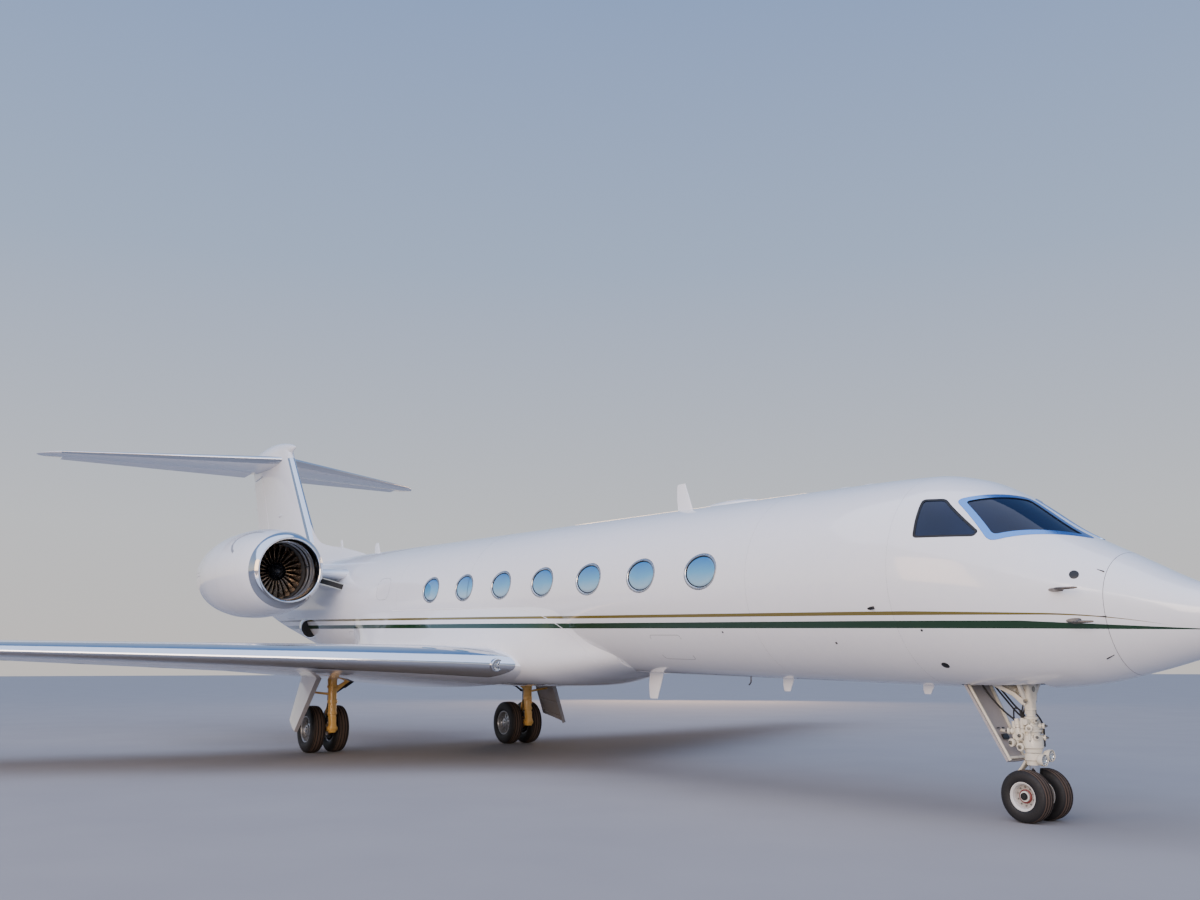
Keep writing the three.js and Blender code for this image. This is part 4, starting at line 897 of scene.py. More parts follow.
def aerofoil(nose, chord, thickness, twist, up, above=1.0, below=1.0, reach=1.0, proud=0.0):
    """A ring of aerofoil points, of the whole section or its front part, or a little proud of it."""
    ring = []
    for side, share, order in ((1, above, range(AEROFOIL_STEPS, -1, -1)),
                               (-1, below, range(1, AEROFOIL_STEPS + 1))):
        for k in order:
            x = reach * (1 - math.cos(math.pi * k / AEROFOIL_STEPS)) / 2
            lift = side * (share * half_thickness(x) * thickness * chord + (proud if k else 0.0))
            lift -= x * chord * math.sin(math.radians(twist))
            ring.append((nose[0] - x * chord + (0.0 if k else proud), nose[1] + up[1] * lift,
                         nose[2] + up[2] * lift))
    return ring


def wing_ring(row, side=1, **extra):
    y, edge, chord, height, thickness, twist = row
    return aerofoil((at(edge), y * side, height), chord, thickness, twist, (0, 0, 1), ABOVE, BELOW, **extra)


def winglet_ring(row, side=1, **extra):
    y, edge, chord, height, cant = row
    cant = math.radians(cant)
    return aerofoil((at(edge), y * side, height), chord, 0.08, -1,
                    (0, -math.sin(cant) * side, math.cos(cant)), **extra)


def wing_loft(name, side, **extra):
    rings = [wing_ring(row, side, **extra) for row in WING]
    rings += [winglet_ring(row, side, **extra) for row in WINGLET]
    return loft(name, rings)


def slab(start, end, up, ahead=0.0, behind=2.5, below=0.9, above=0.9, margin=0.0, skew=(0, 0),
         end_margin=None):
    """A block behind a hinge line; skew is how far each end runs outwards for each metre aft."""
    a, b = Vector(start), Vector(end)
    along = (b - a).normalized()
    lift = Vector(up)
    lift = (lift - along * lift.dot(along)).normalized()
    back = along.cross(lift).normalized()
    if back.x > 0:
        back.negate()
    end_margin = margin if end_margin is None else end_margin

    def corner(place, far, depth, height):
        reach = end_margin + skew[1] * depth if far else -margin + skew[0] * depth
        return place + along * reach + back * depth + lift * height
    rings = [[corner(place, far, -ahead, -below), corner(place, far, behind, -below),
              corner(place, far, behind, above), corner(place, far, -ahead, above)]
             for place, far in ((a, False), (b, True))]
    return loft("slab", rings)


def between(low, high, place):
    """The row of a table that lies between two others, by its first column."""
    t = (place - low[0]) / (high[0] - low[0])
    return [a + (b - a) * t for a, b in zip(low, high)]


def wing_row(y):
    """The wing table's columns at a distance from the middle."""
    low, high = next((low, high) for low, high in zip(WING, WING[1:]) if y <= high[0])
    return between(low, high, y)


def wing_at(y, station):
    """Half-way height between the wing's surfaces and half its thickness."""
    _, edge, chord, height, thickness, twist = wing_row(y)
    x = (station - edge) / chord
    half = half_thickness(x) * thickness * chord
    line = height - x * chord * math.sin(math.radians(twist))
    return line + half * (ABOVE - BELOW) / 2, half * (ABOVE + BELOW) / 2


def hinge_ends(root, tip, drop, side):
    """The ends of a hinge line: (y, station) pairs, a share of the half thickness up or down."""
    ends = []
    for y, station in (root, tip):
        middle, half = wing_at(y, station)
        ends.append((Vector((at(station), y * side, middle + half * drop)), half))
    return ends


def stretched(start, end, more):
    return Vector(end) + (Vector(end) - Vector(start)).normalized() * more


def round_nosed(name, whole, ends, up, skew=(0, 0), margin=0.010, end_margin=None):
    """A surface with a round nose on its hinge line, and the hole that it leaves."""
    (a, half_a), (b, half_b) = ends
    end_margin = margin if end_margin is None else end_margin
    lead = max(half_a, half_b) * 0.45 + 0.010
    nose = carve(bar("nose", a, b, half_a * 0.96, half_b * 0.96), slab(a, b, up, ahead=0.4, skew=skew),
                 "INTERSECT")
    tool = carve(slab(a, b, up, skew=skew), nose, "UNION")
    surface = carve(again(whole, name), tool, "INTERSECT")
    socket = bar("socket", stretched(b, a, margin), stretched(a, b, end_margin), half_a * 0.96 + 0.007,
                 half_b * 0.96 + 0.007)
    carve(socket, slab(a, b, up, ahead=0.4, margin=margin, end_margin=end_margin, skew=skew), "INTERSECT")
    hole = carve(slab(a, b, up, ahead=lead, margin=margin, end_margin=end_margin, skew=skew), socket, "UNION")
    return surface, hole


polished_alloy = grainy(material("polished_bare_aluminium", "#d4d7dc", 0.08, 1.0), 5.0, 0.05, 0.13,
                        ("#cfd3d9", "#dadde1"), 0.0006)

for side in (1, -1):
    where = sided(side)
    whole = wing_loft("whole", side)
    wing_skin = guide(again(whole, "skin"))
    flap_ends = [p for p, _ in hinge_ends((1.8, 16.4), (8.35, 17.48), -0.98, side)]
    flap = carve(again(whole, f"flap_surface_{where}"), slab(*flap_ends, (0, 0, 1)), "INTERSECT")
    aileron, aileron_hole = round_nosed(f"aileron_surface_{where}", whole,
                                        hinge_ends((8.65, 17.64), (12.7, 18.64), 0.0, side), (0, 0, 1))
    spoiler_ends = [p for p, _ in hinge_ends((3.3, 16.02), (8.2, 16.83), 0.98, side)]
    core = again(whole, "core")
    core.data.transform(Matrix.Translation((0, 0, -0.032)))
    spoiler = carve(again(whole, f"spoiler_surface_{where}"), slab(*spoiler_ends, (0, 0, 1), behind=0.48),
                    "INTERSECT")
    carve(spoiler, core)
    under = again(whole, "under")
    under.data.transform(Matrix.Translation((0, 0, -0.038)))
    spoiler_hole = carve(slab(*spoiler_ends, (0, 0, 1), ahead=0.006, margin=0.006, behind=0.486, below=0.2),
                         under)
    wing = carve(whole, [fairing_loft("room", 0.0005), fuselage_loft("room", 8.0, 19.5, -0.0005),
                         slab(*flap_ends, (0, 0, 1), ahead=0.006, margin=0.010), aileron_hole, spoiler_hole])
    wing.name = wing.data.name = f"wing_skins_{where}"
    for piece, body, name in ((wing, "airframe", "wing"), (flap, "flap", "flap"),
                              (aileron, "aileron", "aileron"),
                              (spoiler, "spoiler", "spoiler")):
        shade(piece, wing_skin)
        slot = "white_metal" if name == "wing" else "white_composite"
        finished(piece, body if name == "wing" else f"{body}_{where}", white_plain, slot)
        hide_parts(f"{name}_{where}")
    edge = wing_loft(f"wing_leading_edge_{where}", side, reach=0.085, proud=0.0015)
    edge_skin = guide(again(edge, "skin"))
    cap = [(9.0, side * 0.5, 0.9), (9.0, side * 1.50, 0.9)]
    cap += [(9.0, side * (1.37 + 0.13 * abs(t) ** 2.5), 1.61 + 0.21 * t) for t in np.linspace(-1, 1, 17)]
    cap += [(9.0, side * 1.50, 2.4), (9.0, side * 0.5, 2.4)]
    carve(edge, [fairing_loft("room", 0.002), prism("cap", cap, (1, 0, 0), 8.99, 0.0),
                 block("tip", (-8, 13.85 if side > 0 else -20, 0), (0, 20 if side > 0 else -13.85, 9))])
    shade(edge, edge_skin)
    finished(edge, "airframe", polished_alloy, "polished_metal")

# Fin, rudder and tailplane
# A swept fin with a dorsal fillet, a bullet fairing on top that holds the trimming tailplane,
# and polished leading edges.
# columns: height, leading edge station, chord, thickness ratio
FIN = [(3.900, 22.140, 4.320, 0.109), (4.700, 22.750, 4.030, 0.109), (7.300, 24.740, 3.210, 0.109),
       (7.560, 24.940, 3.160, 0.130)]
# columns: station, ridge height, half width at the foot
DORSAL = [(19.400, 4.150, 0.020), (20.870, 4.443, 0.045), (22.380, 4.705, 0.090), (22.720, 4.880, 0.100),
          (23.240, 5.320, 0.110)]
# columns: y, leading edge station, chord, height, thickness ratio
TAILPLANE = [(0.0, 25.060, 3.000, 7.290, 0.1), (5.200, 28.290, 1.060, 7.440, 0.09),
             (5.450, 28.570, 0.820, 7.447, 0.07),
             (5.620, 28.830, 0.500, 7.452, 0.06), (5.720, 29.060, 0.130, 7.455, 0.06)]
# The unpowered elevators hang trailing edge down, in degrees.
ELEVATOR_DROOP = 9.0


def fin_loft(name, **extra):
    return loft(name, [aerofoil((at(edge), 0, height), chord, thickness, 0, (0, 1, 0), **extra)
                       for height, edge, chord, thickness in FIN])


def bullet_loft(name):
    rings = []
    for t in np.linspace(0.004, 0.996, 40):
        size = math.sin(math.pi * min(1, t / 0.9 if t < 0.45 else 0.5 + (t - 0.45) / 1.15)) ** 0.75
        rings.append([(at(24.56 + (28.42 - 24.56) * t), 0.19 * size * math.cos(k * math.pi / 20),
                       7.56 + 0.31 * size * math.sin(k * math.pi / 20)) for k in range(40)])
    return loft(name, rings)


def dorsal_loft(name):
    sizes = smooth_columns(DORSAL)
    rings = []
    for s in np.linspace(19.4, 23.24, 24):
        height, half = sizes(s)
        foot = axis_z(s) + 0.9
        side_line = [(half * (1 - t) ** 0.6, foot + (height - foot) * t) for t in np.linspace(0, 1, 9)[:-1]]
        rings.append([(at(s), y, z) for y, z in side_line] + [(at(s), 0, height)]
                     + [(at(s), -y, z) for y, z in reversed(side_line)])
    return loft(name, rings)


def tailplane_loft(name, **extra):
    rings = [(-1, row) for row in reversed(TAILPLANE[1:])] + [(1, row) for row in TAILPLANE]
    return loft(name, [aerofoil((at(edge), y * side, height), chord, thickness, 0, (0, 0, 1), **extra)
                       for side, (y, edge, chord, height, thickness) in rings])


def fin_half(height, station):
    _, edge, chord, thickness = between(FIN[1], FIN[2], height)
    return half_thickness((station - edge) / chord) * thickness * chord


whole_fin = fin_loft("whole_fin")
fin_skin = guide(again(whole_fin, "skin"))
rudder_ends = [(Vector((at(s), 0, z)), fin_half(z, s)) for z, s in ((4.43, 25.5), (7.01, 26.9))]
rudder, rudder_hole = round_nosed("rudder_surface", whole_fin, rudder_ends, (0, 1, 0), (0.54, 0.5), 0.036,
                                  0.05)
fin = carve(carve(whole_fin, [dorsal_loft("dorsal"), bullet_loft("bullet")], "UNION"), [
    fuselage_loft("room", 18.0, TAIL_END, -0.0005), rudder_hole])
fin.name = fin.data.name = "fin_and_bullet"
whole_tail = tailplane_loft("whole_tail")
tail_skin = guide(again(whole_tail, "skin"))
slot_room = tailplane_loft("slot_room", proud=0.0015)
carve(fin, slot_room)
elevators = []
for side in (1, -1):
    ends = []
    for y, s in ((0.225, 27.335), (5.08, 28.98)):
        _, edge, chord, height, thickness = between(TAILPLANE[0], TAILPLANE[1], y)
        ends.append((Vector((at(s), y * side, height)),
                     half_thickness((s - edge) / chord) * thickness * chord))
    elevator, hole = round_nosed(f"elevator_surface_{sided(side)}", whole_tail, ends, (0, 0, 1), (0.339, 0.3),
                                 0.020)
    elevators.append((elevator, hole, ends, side))
for elevator, hole, ends, side in elevators:
    carve(whole_tail, hole)
whole_tail.name = whole_tail.data.name = "tailplane_skins"
shade(fin, fin_skin)
shade(rudder, fin_skin)
shade(whole_tail, tail_skin)
finished(fin, "airframe", white_plain, "white_composite")
finished(rudder, "rudder", white_plain, "white_composite")
finished(whole_tail, "airframe", white_plain, "white_composite")
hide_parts("fin")
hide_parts("rudder")
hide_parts("tailplane")
for elevator, hole, ((hinge, _), (far, _)), side in elevators:
    shade(elevator, tail_skin)
    droop = Matrix.Rotation(math.radians(-ELEVATOR_DROOP * side), 4, far - hinge)
    elevator.data.transform(Matrix.Translation(hinge) @ droop @ Matrix.Translation(-hinge))
    finished(elevator, f"elevator_{sided(side)}", white_plain, "white_composite")
    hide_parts(f"elevator_{sided(side)}")
fin_edge = fin_loft("fin_leading_edge", reach=0.05, proud=0.0015)
carve(fin_edge, [block("top", (-15, -1, 7.28), (0, 1, 9)), block("foot", (-15, -1, 0), (0, 1, 4.75))])
tail_edge = tailplane_loft("tailplane_leading_edge", reach=0.09, proud=0.0015)
carve(tail_edge, [block("middle", (-15, -0.16, 0), (0, 0.16, 9)),
                  block("tip", (-15, 5.21, 0), (0, 9, 9)), block("tip", (-15, -9, 0), (0, -5.21, 9))])
for piece in (fin_edge, tail_edge):
    smoothed(piece, "airframe", polished_alloy, "polished_metal")

# Engine pods
# A turned pod on each side: polished inlet lip, white cowl, acoustic duct, fan, a plain
# engine block with its exhaust nozzle, and two clamshell reverser doors at the tail.
NACELLE_Y, NACELLE_REL, MIDDLE = 2.43, 0.65, 20.0
POD_FRONT, POD_REAR = 17.87, 22.45
REVERSER_PIN = 22.30
POD_AXIS = Vector((-1, 0, AXIS_RISE)).normalized()
POD_UP = Vector((AXIS_RISE, 0, 1)).normalized()
# columns: station, outer radius
OUTER = [(17.87, 0.665), (17.93, 0.727), (18.12, 0.798), (18.50, 0.876), (19.10, 0.940), (19.80, 0.965),
         (20.50, 0.950), (21.10, 0.897), (21.80, 0.780), (22.45, 0.560)]
outer_radius = smooth_columns(OUTER)


def pod_point(station, y, z, side):
    """A point given by its station and its offsets from the engine's axis."""
    origin = Vector((at(MIDDLE), NACELLE_Y * side, axis_z(MIDDLE) + NACELLE_REL))
    return origin + POD_AXIS * (station - MIDDLE) + Vector((0, y, 0)) + POD_UP * z


def pod_turned(name, profile, side, segments=96):
    """A piece turned about the engine's axis from a closed [(station, radius), ...] outline."""
    return ring_solid(name, [pod_point(s, r * math.cos(2 * math.pi * k / segments),
                                       r * math.sin(2 * math.pi * k / segments), side)
                             for s, r in profile for k in range(segments)], len(profile), segments)


def pod_outer(front, rear, inset=0.0):
    """The pod's outer line in steps of about 0.1 m."""
    return [(s, outer_radius(s)[0] - inset)
            for s in np.linspace(front, rear, max(2, int((rear - front) / 0.1)))]


def pod_solid(name, side, inset=0.0, segments=96):
    """The whole pod as one closed solid."""
    line = pod_outer(POD_FRONT, POD_REAR, inset) + [(POD_REAR, 0.0), (POD_FRONT, 0.0)]
    return pod_turned(name, line, side, segments)


def pod_block(stations, across, heights, side):
    rings = [[pod_point(s, across[0], heights[0], side), pod_point(s, across[1], heights[0], side),
              pod_point(s, across[1], heights[1], side), pod_point(s, across[0], heights[1], side)]
              for s in stations]
    return loft("pod_block", rings)


acoustic_liner = grainy(material("perforated_acoustic_liner", "#9b9da1", 0.4, 0.7), 420.0, 0.3, 0.5,
                        ("#8d8f93", "#a9abaf"), 0.0008)
# The blades' warm brown colour is painted warm light; the titanium itself is grey.
fan_blade_painted_warm_light = grainy(material("titanium_fan_blade", "#9a836b", 0.26, 1.0), 25.0, 0.18, 0.34,
                         ("#8b745c", "#aa947c"))
spinner_paint = grainy(material("black_spinner_paint", "#101012", 0.22), 12.0, 0.18, 0.3,
                       ("#0e0e10", "#17171a"))
hot_metal = grainy(material("heat_stained_nickel_alloy", "#6f675f", 0.42, 1.0), 8.0, 0.32, 0.55,
                   ("#5c544d", "#857a6c"), 0.0006)

for side in (1, -1):
    where = sided(side)
    lip_line = [(18.118, 0.7975)] + [(s, outer_radius(s)[0])
                                     for s in (18.05, 18.0, 17.96, 17.93, 17.90, 17.88)]
    lip_line += [(17.871, 0.672), (17.87, 0.665), (17.872, 0.655), (17.88, 0.643), (17.90, 0.632),
                 (17.93, 0.6225),
                 (17.97, 0.6125), (18.02, 0.6065), (18.07, 0.603), (18.118, 0.602)]
    lip = pod_turned(f"inlet_lip_{where}_polished", lip_line, side)
    smoothed(lip, "airframe", polished_alloy, "polished_metal")
    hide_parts(f"inlet_lip_{where}")
    cowl_line = pod_outer(18.12, 21.10) + [(21.10, 0.615), (18.42, 0.615), (18.28, 0.609), (18.12, 0.602)]
    cowl = pod_turned(f"cowl_{where}", cowl_line, side)
    tail_line = pod_outer(21.08, POD_REAR) + list(reversed(pod_outer(21.08, POD_REAR, 0.05)))
    tail_ring = pod_turned("tail_ring", tail_line, side)
    beams = carve(again(tail_ring, "beams"), pod_block((21.0, 22.5), (-1.5, 1.5), (-0.035, 0.035), side),
                  "INTERSECT")
    carve(cowl, beams, "UNION")
    outside = shade(cowl, guide(pod_solid("skin", side)))
    finished(cowl, "airframe", white_plain, "white_composite", acoustic_liner, outside)
    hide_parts(f"nacelle_{where}")
    for place, heights in (("upper", (0.041, 1.5)), ("lower", (-1.5, -0.041))):
        door = carve(again(tail_ring, f"reverser_door_{place}_{where}"),
                     pod_block((21.108, 22.5), (-1.5, 1.5), heights, side), "INTERSECT")
        outside = shade(door, guide(pod_solid("skin", side)))
        finished(door, f"reverser_{place}_{where}", white_plain, "white_composite", hot_metal, outside)
        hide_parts(f"reverser_{place}_{where}")
    bpy.data.objects.remove(tail_ring)
    core = pod_turned(f"engine_block_{where}", [(18.98, 0.0), (18.98, 0.6145), (21.3, 0.6145), (21.3, 0.0)],
                      side)
    nozzle = pod_turned(f"exhaust_nozzle_{where}", [
        (21.302, 0.455), (22.5, 0.455), (22.5, 0.425), (21.302, 0.425)], side)
    for piece in (core, nozzle):
        smoothed(piece, "airframe", hot_metal, "engine_metal")
    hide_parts(f"engine_core_{where}")
    spinner = pod_turned(f"fan_spinner_{where}", [
        (18.53, 0.0), (18.532, 0.012), (18.545, 0.035), (18.58, 0.075), (18.63, 0.118), (18.68, 0.155),
        (18.72, 0.178),
        (18.76, 0.19), (18.965, 0.19), (18.965, 0.0)], side, 64)
    smoothed(spinner, f"fan_{where}", spinner_paint, "fan_metal")
    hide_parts(f"fan_{where}")

# Fan blades
# Twenty-four wide titanium blades, twisted from root to tip and swept at the leading edge.
# Their warm brown colour is painted warm light on the grey titanium.
BLADES = 24


def fan_blade(name, side):
    """One blade of the fan, standing up from the engine's axis."""
    rows = []
    # columns: radius, half chord, stagger in degrees, half thickness, sweep aft
    for radius, chord, stagger, half, sweep in (
            (0.170, 0.066, 28, 0.0085, 0.0), (0.250, 0.072, 34, 0.0075, -0.004),
            (0.330, 0.078, 41, 0.0065, -0.006),
            (0.410, 0.084, 48, 0.0055, -0.004), (0.490, 0.088, 54, 0.0048, 0.004),
            (0.550, 0.090, 58, 0.0042, 0.014),
            (0.594, 0.088, 60, 0.0038, 0.024)):
        lean = math.radians(stagger)
        ring = []
        for k in range(16):
            angle = 2 * math.pi * k / 16
            along, across = chord * math.cos(angle), half * math.sin(angle)
            across += 0.10 * chord * (1 - (along / chord) ** 2)
            ring.append((radius, along * math.cos(lean) - across * math.sin(lean) + sweep,
                         along * math.sin(lean) + across * math.cos(lean)))
        rows.append(ring)
    origin = pod_point(18.81, 0, 0, side)
    around = POD_AXIS.cross(POD_UP)
    return loft(name, [[origin + POD_UP * r + POD_AXIS * s + around * t for r, s, t in ring]
                       for ring in rows])


def circled(piece, finish, centre, axis, count):
    """Repeats a mesh round an axis with Geometry Nodes, and makes the result plain."""
    tree = bpy.data.node_groups.new(f"{piece.name}_circle", "GeometryNodeTree")
    sockets = {}
    for label, kind in (("Geometry", "NodeSocketGeometry"), ("Centre", "NodeSocketVector"),
                        ("Axis", "NodeSocketVector"),
                        ("Count", "NodeSocketInt"), ("Finish", "NodeSocketMaterial")):
        sockets[label] = tree.interface.new_socket(label, in_out="INPUT", socket_type=kind).identifier
    tree.interface.new_socket("Geometry", in_out="OUTPUT", socket_type="NodeSocketGeometry")
    inputs = node(tree, "NodeGroupInput").outputs
    points = node(tree, "GeometryNodePoints", {"Count": inputs["Count"]})
    step = math_node(tree, "DIVIDE", 2 * math.pi, inputs["Count"])
    turn = math_node(tree, "MULTIPLY", node(tree, "GeometryNodeInputIndex").outputs[0], step)
    copies = node(tree, "GeometryNodeInstanceOnPoints", {
        "Points": points.outputs[0],
        "Instance": node(tree, "GeometryNodeTransform", {
            "Geometry": inputs["Geometry"], "Translation": node(tree, "ShaderNodeVectorMath", {
                0: inputs["Centre"], 1: (-1, -1, -1)}, operation="MULTIPLY").outputs[0]}).outputs[0],
        "Rotation": node(tree, "FunctionNodeAxisAngleToRotation",
                         {"Axis": inputs["Axis"], "Angle": turn}).outputs[0]})
    solid = node(tree, "GeometryNodeRealizeInstances", {"Geometry": copies.outputs[0]})
    moved = node(tree, "GeometryNodeTransform",
                 {"Geometry": solid.outputs[0], "Translation": inputs["Centre"]})
    dressed = node(tree, "GeometryNodeSetMaterial",
                   {"Geometry": moved.outputs[0], "Material": inputs["Finish"]})
    tree.links.new(dressed.outputs[0], node(tree, "NodeGroupOutput").inputs[0])
    step = piece.modifiers.new("circle", "NODES")
    step.node_group = tree
    step[sockets["Centre"]], step[sockets["Axis"]] = tuple(centre), tuple(axis)
    step[sockets["Count"]], step[sockets["Finish"]] = count, finish
    return plain(piece)


for side in (1, -1):
    blades = circled(fan_blade(f"fan_blades_{sided(side)}", side), fan_blade_painted_warm_light,
                     pod_point(18.81, 0, 0, side), POD_AXIS, BLADES)
    shade(blades, crease=50)
    finished(blades, f"fan_{sided(side)}", fan_blade_painted_warm_light, "fan_metal")

# Pylons
# A short thick pylon carries each engine on the fuselage frames.
for side in (1, -1):
    rings = []
    for y, front in ((0.85, 18.18), (1.90, 18.56)):
        rings.append(aerofoil((at(front), y * side, axis_z(front) + 0.64), 21.0 - front, 0.11, -1.5,
                              (0, 0, 1)))
    pylon = loft(f"pylon_skins_{sided(side)}", rings)
    pylon_skin = guide(again(pylon, "skin"))
    carve(pylon, [pod_solid("room", side, -0.001, 64),
                  fuselage_loft("room", 17.0, 22.0, -0.0005)])
    shade(pylon, pylon_skin)
    finished(pylon, "airframe", white_plain, "white_metal")
    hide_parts(f"pylon_{sided(side)}")

# Panel seams
# Sealant lines where the skin panels meet: dark polysulphide, a few millimetres wide, and a
# pale strip along the edge of the belly fairing.
panel_sealant = grainy(material("grey_polysulphide_sealant", "#4d4f54", 0.6), 90.0, 0.5, 0.7,
                       ("#44464b", "#5a5c61"))
pale_sealant = grainy(material("pale_edge_sealant", "#f2f3f5", 0.35), 90.0, 0.3, 0.45, ("#ebecef", "#f6f7f8"))


def seam(surface, path, width=0.005, proud=0.0008, closed=False):
    """A flat strip that follows a surface along a path."""
    hits = [surface[0].find_nearest(Vector(p))[:2] for p in path]
    rings = []
    for i, (place, out) in enumerate(hits):
        ahead = hits[(i + 1) % len(hits) if closed else min(i + 1, len(hits) - 1)][0]
        behind = hits[i - 1 if closed else max(i - 1, 0)][0]
        across = (ahead - behind).cross(out).normalized() * width / 2
        rings.append([place + across + out * proud, place - across + out * proud,
                      place - across - out * 0.003, place + across - out * 0.003])
    if not closed:
        return loft("seam", rings)
    count = len(rings)
    faces = [(i * 4 + k, i * 4 + (k + 1) % 4, (i + 1) % count * 4 + (k + 1) % 4, (i + 1) % count * 4 + k)
             for i in range(count) for k in range(4)]
    return outwards(made("seam", [p for ring in rings for p in ring], faces))


def on_body(station, rel, side):
    """A place beside the fuselage from which the nearest skin point is looked up."""
    half = fuselage_sizes(station)[0]
    return Vector((at(station),
                   side * math.sqrt(max(half ** 2 * (1 - min(abs(rel) / 1.2, 0.999) ** 2), 0.0)) * 1.02,
                   axis_z(station) + rel))


def stepped(outline):
    """A closed outline with points added so that no step is much longer than 0.12 m."""
    path = []
    for i, p in enumerate(outline):
        q = outline[(i + 1) % len(outline)]
        count = max(1, int((q - p).length / 0.12))
        path += [p.lerp(q, k / count) for k in range(count)]
    return path


def outline_path(corners, side, rounding):
    """A closed path round (station, rel) corners beside the fuselage."""
    flat = rounded([Vector((s, 0, r)) for s, r in corners], rounding, 4)
    return [on_body(p.x, p.z, side) for p in stepped(flat)]


HOOP_SEAM = 12.6
lines, pale = [], []
# columns: station of the front, of the rear, lower rel, upper rel, corner radius
PANELS = [
    (15.78, 16.36, 0.03, 0.47, 0.20), (7.10, 7.75, -0.98, -0.66, 0.05), (17.20, 18.00, -0.96, -0.60, 0.05),
    (21.35, 22.10, -0.30, 0.20, 0.05),
]
for front, rear, low, high, corner in PANELS:
    for side in (1, -1):
        lines.append(seam(skin, outline_path([(front, low), (rear, low), (rear, high), (front, high)], side,
                                             rounding=corner), closed=True))
for front, rear, half in ((5.0, 5.75, 0.22), (6.6, 7.3, 0.22), (8.0, 8.55, 0.18), (19.0, 19.8, 0.24),
                          (21.0, 21.9, 0.2)):
    flat = rounded([Vector((front, -half, 0)), Vector((rear, -half, 0)), Vector((rear, half, 0)),
                    Vector((front, half, 0))], 0.05, 4)
    lines.append(seam(skin, [(at(p.x), p.y, axis_z(p.x) + fuselage_sizes(p.x)[3]) for p in stepped(flat)],
                      closed=True))
lines.append(seam(skin, [(at(HOOP_SEAM), 1.2 * math.cos(a), axis_z(HOOP_SEAM) + 1.2 * math.sin(a))
                         for a in np.linspace(-0.05, math.pi + 0.05, 48)], 0.003))
fitted("fuselage_panel_seams", lines, "airframe", panel_sealant, "white_metal")
# columns: station, rel height of the fairing's edge
EDGE = [(15.60, -0.192), (13.2, -0.195), (11.3, -0.213), (10.8, -0.242), (10.1, -0.377), (9.68, -0.576),
        (9.40, -0.845), (9.22, -1.10)]
for side in (1, -1):
    smooth = []
    for (s0, r0), (s1, r1) in zip(EDGE, EDGE[1:]):
        smooth += [(s0 + (s1 - s0) * k / 4, r0 + (r1 - r0) * k / 4) for k in range(4)]
    smooth.append(EDGE[-1])
    for _ in range(3):
        smooth = [smooth[0]] + [((a[0] + 2 * b[0] + c[0]) / 4, (a[1] + 2 * b[1] + c[1]) / 4)
                                for a, b, c in zip(smooth, smooth[1:], smooth[2:])] + [smooth[-1]]
    path = []
    for s, r in smooth:
        place = Vector((at(s), side * 4.0, axis_z(s) + r))
        hits = [tree_hit for tree_hit in (search.ray_cast(place, Vector((0, -side, 0)))
                                          for search in (skin[0], fairing_skin[0]))
                                          if tree_hit[0] is not None]
        path.append(max((h[0] for h in hits), key=lambda p: p.y * side))
    rings = []
    for i, p in enumerate(path):
        along = (path[min(i + 1, len(path) - 1)] - path[max(i - 1, 0)]).normalized()
        out = Vector((0, p.y, p.z - axis_z(LENGTH / 2 - p.x))).normalized()
        across = along.cross(out).normalized() * 0.006
        rings.append([p + across + out * 0.002, p - across + out * 0.002, p - across - out * 0.004,
                      p + across - out * 0.004])
    pale.append(loft("edge", rings))
fitted("fairing_edge_strip", pale, "airframe", pale_sealant, "white_composite")

# Aerials and probes
# Blade aerials in white paint on the roof and belly, a low roof fairing, black round static
# plates, pitot and ice probes, angle-of-attack vanes, drain masts, vents and small scoops.
probe_metal = grainy(material("heated_probe_nickel", "#77706a", 0.3, 1.0), 60.0, 0.22, 0.4,
                     ("#67605a", "#8b847d"))
black_fitting = grainy(material("black_plastic_fitting", "#0c0c0e", 0.35), 90.0, 0.28, 0.42,
                       ("#0a0a0b", "#151518"))


def blade(station, chord, height, way, half, sweep):
    """A swept blade aerial that stands on the centre line, up or down."""
    _, _, crown, keel = fuselage_sizes(station + chord / 2)
    base = axis_z(station + chord / 2) + (crown if way > 0 else keel)
    rows = [(-0.03, 1.0), (0.0, 1.0), (0.5, 0.82), (0.9, 0.6), (1.0, 0.5)]
    rings = [aerofoil((at(station + sweep * max(t, 0)), 0, base + way * (height * t if t > 0 else t)),
                      chord * share, 2 * half / chord, 0, (0, way, 0)) for t, share in rows]
    return loft("blade", rings)


# columns: station, chord, height, up or down, half thickness, sweep
BLADES_ON_BODY = [
    (7.93, 0.34, 0.42, 1, 0.020, 0.17), (8.66, 0.34, 0.38, -1, 0.020, 0.16),
    (3.78, 0.16, 0.10, -1, 0.012, 0.06),
    (5.98, 0.20, 0.16, -1, 0.014, 0.08), (18.82, 0.30, 0.24, 1, 0.016, 0.12),
    (20.10, 0.22, 0.18, -1, 0.014, 0.09),
]
aerials = [blade(*row) for row in BLADES_ON_BODY]


def low_fairing(station, length, half, height, way=1):
    """A low rounded fairing on the centre line."""
    rings = []
    for t in np.linspace(0.004, 0.996, 22):
        size = math.sin(math.pi * t ** 0.8) ** 0.6
        s = station + length * t
        base = axis_z(s) + fuselage_sizes(s)[2 if way > 0 else 3] - 0.02 * way
        rings.append([(at(s), half * size * math.cos(a), base + way * (0.02 + height * size) * math.sin(a))
                      for a in np.linspace(0, math.pi, 17)] + [(at(s), 0.0, base - 0.02 * way)])
    return loft("low_fairing", rings)


aerials += [low_fairing(6.50, 1.20, 0.17, 0.060), low_fairing(4.45, 0.30, 0.055, 0.028),
            low_fairing(4.85, 0.30, 0.055, 0.028)]
fitted("aerials_and_roof_fairings", aerials, "airframe", white_plain, "white_composite")


def fitting_place(station, rel, side):
    place, out = skin[0].find_nearest(on_body(station, rel, side))[:2]
    return place, out


